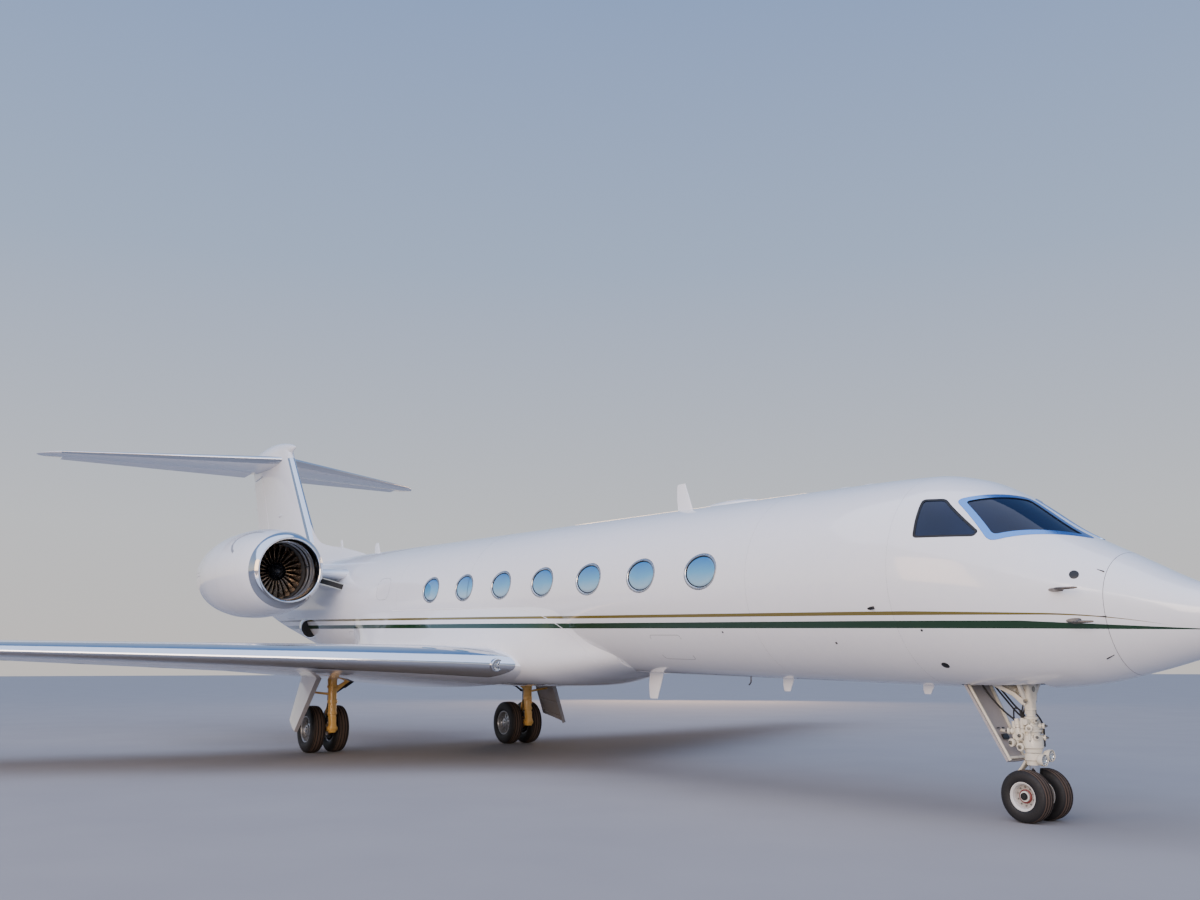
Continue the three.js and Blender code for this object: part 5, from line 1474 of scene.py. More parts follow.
dark, bright = [], []
for side in (1, -1):
    for station, rel, radius in ((1.558, -0.035, 0.046), (4.38, -0.746, 0.016), (6.21, -0.623, 0.014),
                                 (3.161, -0.602, 0.014), (3.115, -0.963, 0.045)):
        place, out = fitting_place(station, rel, side)
        dark.append(spun(place - out * 0.004, out, [(0, radius), (0.0052, radius), (0.0068, radius * 0.9)],
                         36))
    for station, rel, lean in ((1.330, 0.062, 0.35), (1.367, -0.459, 0.0), (1.401, -0.858, -0.5)):
        place, out = fitting_place(station, rel, side)
        along = Vector((-1, 0, lean)).normalized()
        dark.append(beam([(place - along * 0.045, 0.0055, 0.004), (place + along * 0.045, 0.0055, 0.004)],
                         out))
    for station, rel, length in ((1.725, -0.204, 0.24), (1.614, -0.493, 0.22)):
        place, out = fitting_place(station, rel, side)
        elbow = place + out * 0.085 + Vector((0.03, 0, 0))
        bright.append(beam([(place - out * 0.01, 0.075, 0.022), (place + out * 0.006, 0.070, 0.020),
                            (place + out * 0.045, 0.032, 0.013), (elbow, 0.022, 0.012)], (1, 0, 0), 0.8))
        bright.append(spun(elbow - Vector((0.03, 0, 0)), (1, 0, 0), [
            (0, 0.006), (0.02, 0.014), (0.10, 0.014), (length - 0.03, 0.011), (length, 0.007)], 20))
    place, out = fitting_place(3.695, -0.367, side)
    dark.append(beam([(place - Vector((0.06, 0, 0)), 0.004, 0.010),
                      (place + Vector((-0.01, 0, 0.004)), 0.022, 0.018),
                      (place + Vector((0.035, 0, 0.010)), 0.034, 0.016)], out))
for station in (6.9, 19.4):
    keel = axis_z(station) + fuselage_sizes(station)[3]
    bright.append(pipe([(at(station), 0.1, keel + 0.02), (at(station), 0.1, keel - 0.07),
                        (at(station + 0.04), 0.1, keel - 0.11)], 0.010))
for name, pieces, finish, slot in (("black_fittings", dark, black_fitting, "tyre_rubber"),
                                   ("probes_and_drains", bright, probe_metal, "polished_metal")):
    fitted(name, pieces, "airframe", finish, slot)

# Engine details
# Bright and dark rings inside the duct, a temperature probe, an anti-ice outlet slot on the
# cowl, reverser hinge fittings, the pylon's polished nose with its cooling-air inlet, and the
# chrome-lipped ram-air scoops under the engines.
# Black for the duct bands and probes, and painted shade in the pylon inlet and scoop mouths.
black_lining_and_painted_shade = grainy(material("black_duct_bands_and_painted_shade", "#0a0b0d", 0.5), 70.0, 0.42, 0.6, ("#08090a", "#131417"))
grey_seams_and_painted_slot_shade = grainy(material("grey_seam_and_painted_slot_shade", "#8b8f98", 0.4), 70.0, 0.32, 0.48, ("#7f838c", "#989ca4"))
for side in (1, -1):
    where = sided(side)
    rings, darks = [], []
    for station, radius in ((18.135, 0.6025), (18.30, 0.608), (18.50, 0.613)):
        rings.append(pod_turned("duct_ring", [
            (station - 0.011, radius + 0.002), (station - 0.011, radius - 0.004),
            (station + 0.011, radius - 0.004),
            (station + 0.011, radius + 0.002)], side, 72))
    for station, wide in ((18.40, 0.035), (18.62, 0.045)):
        darks.append(pod_turned("duct_band", [
            (station - wide, 0.6165), (station - wide, 0.6125), (station + wide, 0.6125),
            (station + wide, 0.6165)],
            side, 72))
    for angle in (12, 192):
        a = math.radians(angle)
        darks.append(bar("probe", pod_point(18.42, 0.612 * math.cos(a), 0.612 * math.sin(a), side),
                         pod_point(18.42, 0.500 * math.cos(a), 0.500 * math.sin(a), side), 0.014, 0.007, 12))
    cone = [(18.66, 0.187), (18.70, 0.194), (18.735, 0.194), (18.735, 0.180)]
    spinner_ring = pod_turned(f"spinner_ring_{where}", cone, side, 64)
    smoothed(spinner_ring, f"fan_{where}", polished_alloy, "polished_metal")
    for out in (1, -1):
        def hinge_place(station, lift):
            return pod_point(station, (outer_radius(station)[0] + lift) * out, 0, side)
        rings.append(bar("reverser_pin", hinge_place(REVERSER_PIN, -0.02), hinge_place(REVERSER_PIN, 0.018),
                         0.024, 0.020, 20))
        rings.append(beam([(hinge_place(REVERSER_PIN - 0.16, -0.004), 0.020, 0.010),
                           (hinge_place(REVERSER_PIN, 0.004), 0.034, 0.014),
                           (hinge_place(REVERSER_PIN + 0.10, -0.004), 0.018, 0.010)], (0, 0, 1)))
    fitted(f"pod_rings_and_hinges_{where}", rings, "airframe", polished_alloy, "polished_metal")
    fitted(f"duct_bands_and_probes_{where}", darks, "airframe", black_lining_and_painted_shade, "engine_metal")
    pod_skin = guide(pod_solid("skin", side))
    marks = []
    arc = []
    # The arc slot is a grey strip on the cowl; its grey is painted shade inside the outlet slot.
    slot = ((18.60, 114), (19.02, 119), (19.30, 126), (19.40, 135), (19.34, 144), (19.16, 152), (19.00, 156))
    for k in np.linspace(0, len(slot) - 1, 43):
        station, angle = (float(np.interp(k, range(len(slot)), column)) for column in zip(*slot))
        a = math.radians(angle)
        r = outer_radius(station)[0]
        arc.append(pod_point(station, -side * r * math.cos(a), r * math.sin(a), side))
    marks.append(seam(pod_skin, arc, 0.06, 0.003))
    for station in (18.66, 19.75):
        r = outer_radius(station)[0]
        marks.append(seam(pod_skin, [pod_point(station, r * math.cos(a), r * math.sin(a), side)
                                     for a in full_turn(72)], 0.004, closed=True))
    for angle in (-78, -102):
        a = math.radians(angle)
        marks.append(seam(pod_skin,
                          [pod_point(s, outer_radius(s)[0] * math.cos(a), outer_radius(s)[0] * math.sin(a),
                                     side)
                                     for s in np.linspace(18.68, 21.05, 16)], 0.004))
    fitted(f"cowl_seams_and_slot_{where}", marks, "airframe", grey_seams_and_painted_slot_shade, "white_composite")
    # The cooling-air inlet hangs under the pylon's nose: a polished duct, with a black plate across its mouth
    # as painted shade for the throat.
    duct, inlet_shade_plate = [], []
    for y, front, rel in ((1.04, 18.13, 0.32), (1.13, 18.17, 0.35), (1.42, 18.30, 0.44), (1.72, 18.43, 0.52)):
        z = axis_z(front) + rel
        for rings, grow, start, end in ((duct, 0.020, 0.0, 0.75), (inlet_shade_plate, 0.0, -0.002, 0.03)):
            if y < 1.1 and rings is inlet_shade_plate:
                continue
            rings.append([(at(front + start), y * side, z - 0.055 - grow),
                          (at(front + start), y * side, z + 0.055 + grow),
                          (at(front + end), y * side, z + 0.055 + grow),
                          (at(front + end), y * side, z + 0.035 - grow)])
    duct = loft(f"pylon_inlet_duct_{where}", duct)
    carve(duct, [fuselage_loft("room", 17.0, 20.0, 0.0),
                 pod_solid("room", side, 0.0, 64)])
    smoothed(duct, "airframe", polished_alloy, "polished_metal")
    inlet_shade_plate = loft(f"pylon_air_inlet_{where}", inlet_shade_plate)
    smoothed(inlet_shade_plate, "airframe", black_lining_and_painted_shade, "engine_metal")

for side in (1, -1):
    place, out = skin[0].find_nearest(on_body(20.60, -0.50, side))[:2]
    up = (Vector((0, 0, 1)) - out * out.z).normalized()
    back = Vector((-1, 0, 0.12)).normalized()

    def scoop_loft(name, rows, count):
        return loft(name, [[place + back * d + up * (wide * math.cos(a) - 0.03 * d)
                            + out * (high * math.sin(a) - 0.004 - 0.16 * d) for a in full_turn(count)]
                           for d, wide, high in rows])
    body = scoop_loft(f"ram_air_scoop_{sided(side)}", [
        (-0.34, 0.215, 0.190), (-0.28, 0.225, 0.200), (-0.05, 0.200, 0.160), (0.14, 0.140, 0.090),
        (0.32, 0.07, 0.020)], 48)
    carve(body, scoop_loft("hollow", [(-0.36, 0.200, 0.174), (-0.06, 0.188, 0.153)], 32))
    smoothed(body, "airframe", polished_alloy, "polished_metal")
    # A black plug fills the scoop behind its lip: painted shade for the inside.
    scoop_shade_plug = scoop_loft(f"ram_air_scoop_inside_{sided(side)}", [(-0.26, 0.194, 0.160), (-0.07, 0.194, 0.160)],
                      32)
    smoothed(scoop_shade_plug, "airframe", black_lining_and_painted_shade, "engine_metal")

# Lamps, wicks and wing fittings
# Landing lights set in the wing's leading edge near the root, coloured position lights at the
# tips, a white tail light, static wicks along the trailing edges and covers under the wings.
red_glass, tree, shader = material("red_position_light_glass", "#a3161a", 0.06)
shader.inputs["Transmission Weight"].default_value = 0.4
grained(tree, shader, 50.0, 0.04, 0.1)
green_glass, tree, shader = material("green_position_light_glass", "#12804a", 0.06)
shader.inputs["Transmission Weight"].default_value = 0.4
grained(tree, shader, 50.0, 0.04, 0.1)
wick_carbon = grainy(material("carbon_static_wick", "#26262a", 0.55), 200.0, 0.45, 0.65)
lamp_glass, tree, shader = material("clear_lamp_glass", "#eef2f6", 0.03, ior=1.5)
shader.inputs["Transmission Weight"].default_value = 0.9
grained(tree, shader, 160.0, 0.02, 0.06, bump=0.0006)
lamp_mirror = grainy(material("silvered_lamp_reflector", "#f1efe6", 0.06, 1.0), 30.0, 0.04, 0.1)
housings, mirrors, lenses = [], [], []
for side in (1, -1):
    edge = 10.45 + 0.6 * (1.61 - 1.0)
    place = Vector((at(edge) - 0.030, 1.61 * side, 1.6105))
    way = Vector((0.92, 0.0, -0.10)).normalized()
    housings.append(turned("rim", place, way,
                           [(-0.03, 0.084), (-0.03, 0.104), (0.022, 0.104), (0.036, 0.094), (0.036, 0.084)],
                           48))
    mirrors.append(turned("bowl", place, way,
                          [(-0.02, 0.0), (-0.015, 0.03), (0.020, 0.084), (0.024, 0.084), (0.0, 0.028),
                                              (-0.006, 0.0)], 40))
    lenses.append(turned("glass", place, way,
                         [(0.026, 0.0), (0.026, 0.084), (0.031, 0.084), (0.040, 0.045), (0.042, 0.0)], 40))
for name, pieces, finish, slot in (("landing_light_rims", housings, polished_alloy, "polished_metal"),
                                   ("landing_light_reflectors", mirrors, lamp_mirror, "polished_metal"),
                                   ("landing_light_lenses", lenses, lamp_glass, "cockpit_glass")):
    fitted(name, pieces, "airframe", finish, slot)
for side, finish in ((1, red_glass), (-1, green_glass)):
    lamp = carve(wing_loft(f"position_light_{sided(side)}", side, reach=0.10, proud=0.004),
                 block("room", (-8, 13.42 if side > 0 else -13.62, 0), (0, 13.62 if side > 0 else -13.42, 9)),
                 "INTERSECT")
    smoothed(lamp, "airframe", finish, "cockpit_glass")
tail_lamp = spun((at(28.36), 0, 7.56), (-1, 0, 0),
                 [(-0.03, 0.045), (0.02, 0.045), (0.045, 0.034), (0.058, 0.012)], 24)
tail_lamp.name = tail_lamp.data.name = "tail_light"
smoothed(tail_lamp, "airframe", lamp_glass, "cockpit_glass")


def wick(place, way, length=0.13):
    return spun(Vector(place) - Vector(way).normalized() * 0.012, way, [
        (0, 0.007), (0.03, 0.007), (0.032, 0.004), (length, 0.0025)], 8)


for side in (1, -1):
    wicks = []
    for y in (9.2, 10.3, 11.4, 12.4):
        _, edge, chord, height, _, twist = wing_row(y)
        wicks.append(wick((at(edge + chord), y * side, height - chord * math.sin(math.radians(twist))),
                          (-1, 0, 0)))
    fitted(f"aileron_static_wicks_{sided(side)}", wicks, f"aileron_{sided(side)}", wick_carbon, "tyre_rubber")
    fitted(f"winglet_static_wicks_{sided(side)}", [
        wick((at(19.76), 13.985 * side, 2.62), (-1, 0, 0)),
        wick((at(19.86), 14.10 * side, 2.94), (-1, 0, 0))],
           "airframe", wick_carbon, "tyre_rubber")
wicks = []
for z in (4.85, 5.5, 6.15, 6.8):
    low, high = FIN[1], FIN[2]
    t = (z - low[0]) / (high[0] - low[0])
    wicks.append(wick((at(low[1] + low[2] + (high[1] + high[2] - low[1] - low[2]) * t), 0, z), (-1, 0, 0.1)))
fitted("rudder_static_wicks", wicks, "rudder", wick_carbon, "tyre_rubber")

# The share of the chord at which a seam runs along the wing's upper skin.
FRONT_SPAR = 0.15
for side in (1, -1):
    covers = []
    under_skin = guide(wing_loft("skin", side))
    for y, share in ((2.6, 0.35), (3.6, 0.40), (4.6, 0.35), (5.7, 0.38), (6.8, 0.38), (7.9, 0.38),
                     (9.2, 0.36), (10.6, 0.36),
                     (11.9, 0.36)):
        _, edge, chord, height, _, _ = wing_row(y)
        covers.append(seam(under_skin,
                           [(at(edge + chord * share) + 0.24 * math.cos(a), (y + 0.13 * math.sin(a)) * side,
                                         height - 0.6) for a in full_turn(32)], 0.004, closed=True))
    path = []
    for y in np.linspace(1.9, 13.2, 36):
        _, edge, chord, height, _, _ = wing_row(y)
        path.append((at(edge + chord * FRONT_SPAR), y * side, height + 0.5))
    covers.append(seam(under_skin, path, 0.004))
    fitted(f"wing_seams_and_covers_{sided(side)}", covers, "airframe", panel_sealant, "white_metal")

# Tail fittings
# A small air scoop each side of the fin, two blades on the dorsal ridge, and the auxiliary
# power unit's exhaust in the end of the tail cone.
scoops = []
for side in (1, -1):
    z, s = 5.68, 24.89
    y = fin_half(z, s) * side
    scoops.append(loft("fin_scoop", [
        [(at(s + d), y + side * (high * math.sin(a) - 0.004), z + wide * math.cos(a)) for a in full_turn(20)]
        for d, wide, high in ((-0.20, 0.004, 0.004), (-0.10, 0.022, 0.012), (0.10, 0.050, 0.034),
                              (0.12, 0.050, 0.034),
                              (0.125, 0.040, 0.026))]))
dorsal_sizes = smooth_columns(DORSAL)
for s, height in ((20.95, 0.20), (20.78, 0.05)):
    top = dorsal_sizes(s)[0]
    scoops.append(loft("dorsal_blade",
                       [aerofoil((at(s) - 0.08 * k, 0, top - 0.05 + height * 1.25 * k), 0.16 - 0.03 * k, 0.14,
                                                 0, (0, 1, 0)) for k in (0, 1)]))
fitted("fin_scoops_and_dorsal_blades", scoops, "airframe", white_plain, "white_composite")
outlet = turned("auxiliary_power_exhaust", (at(27.30), 0, axis_z(27.3) + 0.56), (-1, 0, 0), [
    (0.0, 0.0), (0.0, 0.085), (0.165, 0.082), (0.165, 0.070), (0.03, 0.070), (0.03, 0.0)], 40)
smoothed(outlet, "airframe", hot_metal, "engine_metal")

# Landing gear
# Machined steel and aluminium legs in cream gloss enamel with chromed pistons, forged wheels
# and black rubber tyres; the main legs' cream is tinted gold as painted low sunlight. The shapes below are
# built from turned and forged pieces.
gear_enamel, tree, shader = material("cream_gloss_enamel", "#e3ddcc", 0.28)
shader.inputs["Coat Weight"].default_value = 0.4
grained(tree, shader, 18.0, 0.22, 0.42, ("#d9d2bf", "#e9e4d6"), 0.0006)
# The main legs' gold is painted low sunlight on cream enamel.
cream_enamel_painted_gold_light, tree, shader = material("cream_enamel_painted_golden_sunlight", "#f4bd58", 0.3)
shader.inputs["Coat Weight"].default_value = 0.4
grained(tree, shader, 18.0, 0.24, 0.44, ("#eeb04a", "#f8cc78"), 0.0006)
chrome_rod = grainy(material("hard_chromed_steel", "#d6d8da", 0.06, 1.0), 30.0, 0.04, 0.1, stretch=(4, 4, 1))
steel_fitting = grainy(material("cadmium_plated_steel", "#8c8a83", 0.38, 1.0), 70.0, 0.3, 0.5,
                       ("#7c7a73", "#9c9a93"), 0.0003)
hose_rubber = grainy(material("black_hydraulic_hose", "#131315", 0.5), 240.0, 0.42, 0.6,
                     ("#101012", "#1b1b1e"), 0.0004)

# Tyres
# Cross-ply aircraft tyres: round shoulders, a nearly flat tread and four ribs cut all round.
tyre_rubber = grainy(material("black_tyre_rubber", "#09090b", 0.5), 60.0, 0.5, 0.75, ("#0e0e10", "#19181a"),
                     0.0008)
# The ribs are scuffed brown-grey by the runway; the grooves between them stay black.
worn_rubber = grainy(material("scuffed_tread_rubber", "#57473c", 0.85), 60.0, 0.75, 0.95,
                     ("#4b3e35", "#645246"), 0.0008)


def tyre_outline(radius, half, rim, grooves):
    wall = radius - rim
    side_line = [(0.76, 0.0), (0.86, 0.06), (0.95, 0.18), (0.995, 0.34), (1.0, 0.48), (0.975, 0.64),
                 (0.92, 0.78),
                 (0.83, 0.89), (0.74, 0.95)]
    side_line = [(half * x, rim + wall * t) for x, t in side_line]

    def crown(x):
        return radius - 0.05 * wall * (abs(x) / (0.74 * half)) ** 2.4
    tread = []
    for place in sorted(grooves + [-g for g in grooves if g]):
        x = place * half
        tread += [(x - 0.0085, crown(x)), (x - 0.0070, radius - 0.014), (x + 0.0070, radius - 0.014),
                  (x + 0.0085, crown(x))]
    between = [x * half for x in (-0.68, -0.6, -0.25, 0.0, 0.25, 0.6, 0.68)]
    tread += [(x, crown(x)) for x in between if min(abs(x - t[0]) for t in tread) > 0.004]
    return [(-x, r) for x, r in side_line] + sorted(tread) + [(x, r) for x, r in reversed(side_line)]


# Stations and heights of the axles, and how far out the main legs stand.
NOSE_AXLE, NOSE_AXLE_Z = 2.585, 0.263
MAIN_AXLE, MAIN_AXLE_Z, MAIN_Y = 16.34, 0.436, 2.185
NOSE_X = at(NOSE_AXLE)
# columns: body, station, y, tyre y offset, tyre radius, tyre half width, rim radius
WHEELS = [
    ("nose_wheels", NOSE_AXLE, 0.0, 0.176, NOSE_AXLE_Z, 0.092, 0.140),
    ("main_wheels_left", MAIN_AXLE, MAIN_Y, 0.235, MAIN_AXLE_Z, 0.140, 0.235),
    ("main_wheels_right", MAIN_AXLE, -MAIN_Y, 0.235, MAIN_AXLE_Z, 0.140, 0.235),
]
TYRE_NODES = {"nose_wheels": ("nose_tyre_left", "nose_tyre_right"),
              "main_wheels_left": ("main_tyre_left_outer", "main_tyre_left_inner"),
              "main_wheels_right": ("main_tyre_right_inner", "main_tyre_right_outer")}
for body, station, y, offset, radius, half, rim in WHEELS:
    grooves = [0.22, 0.56] if half > 0.1 else [0.0, 0.46]
    for side, name in zip((1, -1), TYRE_NODES[body]):
        centre = Vector((at(station), y + side * offset, radius))
        tyre = turned(f"{name}_ribbed", centre, (0, side, 0), tyre_outline(radius, half, rim, grooves))
        shade(tyre)
        black = [f.index for f in tyre.data.polygons
                 if abs(f.normal.y) > 0.45 or (f.center - centre).xz.length < radius - 0.009]
        finished(tyre, body, tyre_rubber, "tyre_rubber", worn_rubber, black)
        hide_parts(name)

# Wheels
# Forged aluminium. The nose wheels are painted light grey with a dished web, ten bolts and a
# red locking ring; the web is darker grey as painted shade in the dish. The main wheels are darker,
# with nine openings between wide spokes.
wheel_paint = grainy(material("light_grey_wheel_enamel", "#dcdad7", 0.32), 40.0, 0.26, 0.42,
                     ("#d2d0cc", "#e6e4e1"), 0.0004)
web_painted_dish_shade = grainy(material("grey_wheel_web_painted_dish_shade", "#a39e99", 0.45), 40.0, 0.38, 0.55,
                   ("#96918c", "#b0aba6"), 0.0005)
wheel_alloy = grainy(material("forged_wheel_alloy", "#a9abae", 0.34, 0.8), 30.0, 0.28, 0.46,
                     ("#9a9c9f", "#b9bbbe"), 0.0005)
lock_red = grainy(material("red_locking_ring_paint", "#7a2f2b", 0.4), 60.0, 0.34, 0.5, ("#6d2a27", "#873733"))
carbon_brake = grainy(material("carbon_brake_pack", "#2c2b2a", 0.6, 0.3), 90.0, 0.5, 0.7,
                      ("#242322", "#383634"), 0.0005)

for body, station, y, offset, radius, half, rim in WHEELS:
    nose_wheel = body == "nose_wheels"
    finish = wheel_paint if nose_wheel else wheel_alloy
    rims, dark, bolts, caps = [], [], [], []
    for side in (1, -1):
        centre = (at(station), y + side * offset, radius)
        h, r = half * 0.80, rim
        if nose_wheel:
            outline = [(-h, 0.0), (-h, 0.30 * r), (-0.1 * h, 0.36 * r), (-0.1 * h, 0.86 * r),
                       (-0.9 * h, 0.93 * r),
                       (-h, 0.97 * r), (-h, 1.05 * r), (-0.95 * h, 1.07 * r), (-0.80 * h, 0.999 * r),
                       (0.80 * h, 0.999 * r), (0.97 * h, 1.07 * r), (1.03 * h, 1.05 * r),
                       (1.03 * h, 0.98 * r),
                       (0.92 * h, 0.93 * r), (0.84 * h, 0.88 * r), (0.30 * h, 0.84 * r), (0.24 * h, 0.78 * r),
                       (0.16 * h, 0.48 * r), (0.20 * h, 0.42 * r), (0.50 * h, 0.385 * r),
                       (0.56 * h, 0.37 * r),
                       (0.60 * h, 0.0)]
        else:
            outline = [(-0.35 * h, 0.0), (-0.35 * h, 0.88 * r), (-0.9 * h, 0.93 * r), (-h, 0.97 * r),
                       (-h, 1.05 * r),
                       (-0.95 * h, 1.06 * r), (-0.80 * h, 0.999 * r), (0.80 * h, 0.999 * r),
                       (0.97 * h, 1.06 * r),
                       (1.03 * h, 1.05 * r), (1.03 * h, 0.98 * r), (0.94 * h, 0.935 * r),
                       (0.55 * h, 0.90 * r),
                       (0.40 * h, 0.84 * r), (0.46 * h, 0.55 * r), (0.62 * h, 0.36 * r), (0.84 * h, 0.34 * r),
                       (0.86 * h, 0.32 * r), (0.86 * h, 0.0)]
        wheel = turned("wheel", centre, (0, side, 0), outline, 72)
        if not nose_wheel:
            for k in range(9):
                angle = 2 * math.pi * k / 9
                hole = []
                for i in range(16):
                    a, reach = math.pi * i / 8, rim * 0.62
                    u, w = 0.150 * rim * math.cos(a), reach + 0.185 * rim * math.sin(a)
                    hole.append(Vector(centre) + Vector((math.cos(angle) * w - math.sin(angle) * u, 0,
                                                         math.sin(angle) * w + math.cos(angle) * u)))
                carve(wheel, prism("hole", hole, (0, side, 0), -0.005, 0.14))
            bolts.append(circled(spun(Vector(centre) + Vector((0, side * 0.40 * h, 0.80 * rim)), (0, side, 0),
                                      [
                (0, 0.010), (0.014, 0.010), (0.017, 0.006)], 6), steel_fitting, centre, (0, 1, 0), 18))
            dark.append(turned("brake", centre, (0, -side, 0), [
                (0.36 * h, 0.0), (0.36 * h, 0.84 * r), (1.02 * h, 0.84 * r), (1.10 * h, 0.80 * r),
                (1.10 * h, 0.0)], 48))
            caps.append(turned("cap", centre, (0, side, 0), [
                (0.5 * h, 0.0), (0.5 * h, 0.20 * r), (1.0 * h, 0.20 * r), (1.06 * h, 0.17 * r),
                (1.08 * h, 0.0)], 32))
        else:
            bolts.append(circled(spun(Vector(centre) + Vector((0, side * 0.16 * h, 0.66 * rim)), (0, side, 0),
                                      [
                (0, 0.0085), (0.014, 0.0085), (0.017, 0.005)], 6), steel_fitting, centre, (0, 1, 0), 10))
            dark.append(turned("ring", centre, (0, side, 0), [
                (0.18 * h, 0.40 * r), (0.18 * h, 0.50 * r), (0.40 * h, 0.49 * r), (0.46 * h, 0.42 * r)], 48))
            caps.append(turned("cap", centre, (0, side, 0), [
                (0.55 * h, 0.0), (0.55 * h, 0.27 * r), (0.80 * h, 0.26 * r), (0.95 * h, 0.20 * r),
                (0.97 * h, 0.0)], 32))
        rims.append(wheel)
    rims.append(bar("axle", (at(station), y - offset, radius), (at(station), y + offset, radius), 0.3 * rim))
    rims = gathered(f"{body}_rims", rims)
    shade(rims)
    # Faces of the dished web, between about 0.37 and 0.83 of the rim radius, take the darker painted shade.
    bright = [f.index for f in rims.data.polygons
              if not nose_wheel or abs((f.center - Vector((at(station), f.center.y,
                  radius))).length / rim - 0.6) > 0.235]
    finished(rims, body, finish, "wheel_metal", web_painted_dish_shade, bright)
    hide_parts(body)
    fitted(f"{body}_bolts", bolts, body, steel_fitting, "gear_paint")
    fitted(f"{body}_lock_rings" if nose_wheel else f"{body}_brakes", dark, body,
           lock_red if nose_wheel else carbon_brake, "wheel_metal")
    fitted(f"{body}_hub_caps", caps, body, gap_seal if nose_wheel else wheel_alloy, "wheel_metal")

# Nose leg
# A steel oleo leg under a forged head, held by an A-shaped drag brace and two side stays, with
# the steering unit round its lower end and hydraulic hoses running down from the bay.
leg = [
    spun((NOSE_X, 0, 1.80), (0, 0, -1), [
        (0, 0.050), (0.32, 0.050), (0.33, 0.064), (0.40, 0.066), (0.44, 0.048), (0.74, 0.045), (0.75, 0.062),
        (0.78, 0.062), (0.79, 0.052), (0.84, 0.060), (0.85, 0.080), (0.93, 0.080), (0.94, 0.096),
        (1.00, 0.104),
        (1.06, 0.104), (1.075, 0.090), (1.11, 0.086)], 48),
    bar("trunnion", (NOSE_X, -0.30, 1.50), (NOSE_X, 0.30, 1.50), 0.042),
    beam([((NOSE_X, 0, 1.52), 0.090, 0.055), ((NOSE_X, 0, 1.37), 0.082, 0.052),
          ((NOSE_X, 0, 1.25), 0.080, 0.050),
          ((NOSE_X, 0, 1.20), 0.050, 0.050), ((NOSE_X, 0, 1.08), 0.046, 0.048)], (0, 1, 0)),
    bar("cross", (NOSE_X, -0.120, 1.00), (NOSE_X, 0.120, 1.00), 0.030),
]
for side in (1, -1):
    leg.append(beam([((NOSE_X - 0.01, 0.070 * side, 1.24), 0.020, 0.024),
                     ((NOSE_X, 0.195 * side, 1.42), 0.020, 0.024),
                     ((NOSE_X, 0.215 * side, 1.50), 0.028, 0.030)], (1, 0, 0)))
    leg.append(beam([((NOSE_X - 0.02, 0.045 * side, 1.18), 0.022, 0.030),
                     ((at(2.72), 0.075 * side, 1.285), 0.018, 0.024),
                     ((at(2.98), 0.130 * side, 1.420), 0.018, 0.024),
                     ((at(3.12), 0.160 * side, 1.50), 0.026, 0.030)],
                    (0, 1, 0)))
leg.append(bar("brace_tie", (at(2.86), -0.10, 1.36), (at(2.86), 0.10, 1.36), 0.018))
leg.append(spun((NOSE_X - 0.03, 0.045, 1.275), (-0.445, 0, 0.150), [
    (0, 0.024), (0.05, 0.034), (0.06, 0.020), (0.13, 0.020), (0.135, 0.048), (0.17, 0.052), (0.40, 0.052),
    (0.41, 0.042), (0.46, 0.028)], 24))
# The steering unit: two cylinders, their manifold, and the valves and unions round the leg.
leg.append(beam([((NOSE_X - 0.045, 0, 0.87), 0.080, 0.085), ((NOSE_X - 0.19, 0, 0.87), 0.066, 0.060)],
                (0, 1, 0), 0.3))
# columns: x from the leg, y, height, way, length, radius
UNITS = [
    (-0.05, -0.090, 1.04, (0, 0, -1), 0.25, 0.026), (-0.12, -0.080, 1.03, (0.1, 0, -1), 0.20, 0.031),
    (-0.12, 0.080, 1.03, (0.1, 0, -1), 0.20, 0.031), (-0.185, -0.045, 1.00, (0.2, 0, -1), 0.17, 0.024),
    (0.02, -0.060, 0.94, (0.4, -1, 0), 0.085, 0.034), (0.05, 0.045, 0.96, (1, 0.4, 0), 0.075, 0.030),
    (0.05, -0.040, 1.00, (1, -0.5, 0.3), 0.055, 0.020), (0.02, 0.070, 0.90, (0.3, 1, 0), 0.070, 0.026),
    (-0.17, -0.055, 0.90, (-1, -0.3, 0), 0.085, 0.034), (-0.17, 0.055, 0.86, (-1, 0.3, 0), 0.085, 0.034),
    (-0.15, -0.050, 0.785, (-0.3, -1, 0), 0.100, 0.042), (-0.15, 0.050, 0.785, (-0.3, 1, 0), 0.100, 0.042),
    (-0.07, -0.080, 0.745, (0, -1, 0), 0.060, 0.040), (-0.05, -0.075, 0.86, (-0.2, -1, 0), 0.070, 0.036),
    (0.055, -0.050, 0.85, (1, -0.7, 0), 0.070, 0.030), (0.055, 0.050, 0.84, (1, 0.7, 0), 0.070, 0.030),
    (0.03, -0.095, 0.98, (0, 0, -1), 0.20, 0.016), (-0.215, 0.0, 0.98, (0.1, 0, -1), 0.20, 0.020),
]
unions = []
for x, y, z, way, length, r in UNITS:
    start = Vector((NOSE_X + x, y, z))
    leg.append(spun(start, way, [
        (0, r * 0.8), (0.12 * length, r * 0.8), (0.14 * length, r), (0.30 * length, r),
        (0.31 * length, r * 0.88),
        (0.62 * length, r * 0.88), (0.63 * length, r), (0.80 * length, r), (0.83 * length, r * 0.6)], 20))
    unions.append(spun(start + Vector(way).normalized() * 0.80 * length, way, [
        (0, r * 0.55), (0.016, r * 0.55), (0.017, r * 0.30), (0.030, r * 0.28)], 6))
    unions.append(spun(start + Vector(way).normalized() * 0.43 * length, way,
                       [(0, r * 0.95), (0.006, r * 0.95)], 20))
for side in (1, -1):
    for x, z in ((-0.02, 1.325), (0.0, 1.215)):
        unions.append(spun((NOSE_X + x, 0.078 * side, z), (0, side, 0),
                           [(0, 0.024), (0.012, 0.024), (0.014, 0.013), (0.024, 0.013)], 6))
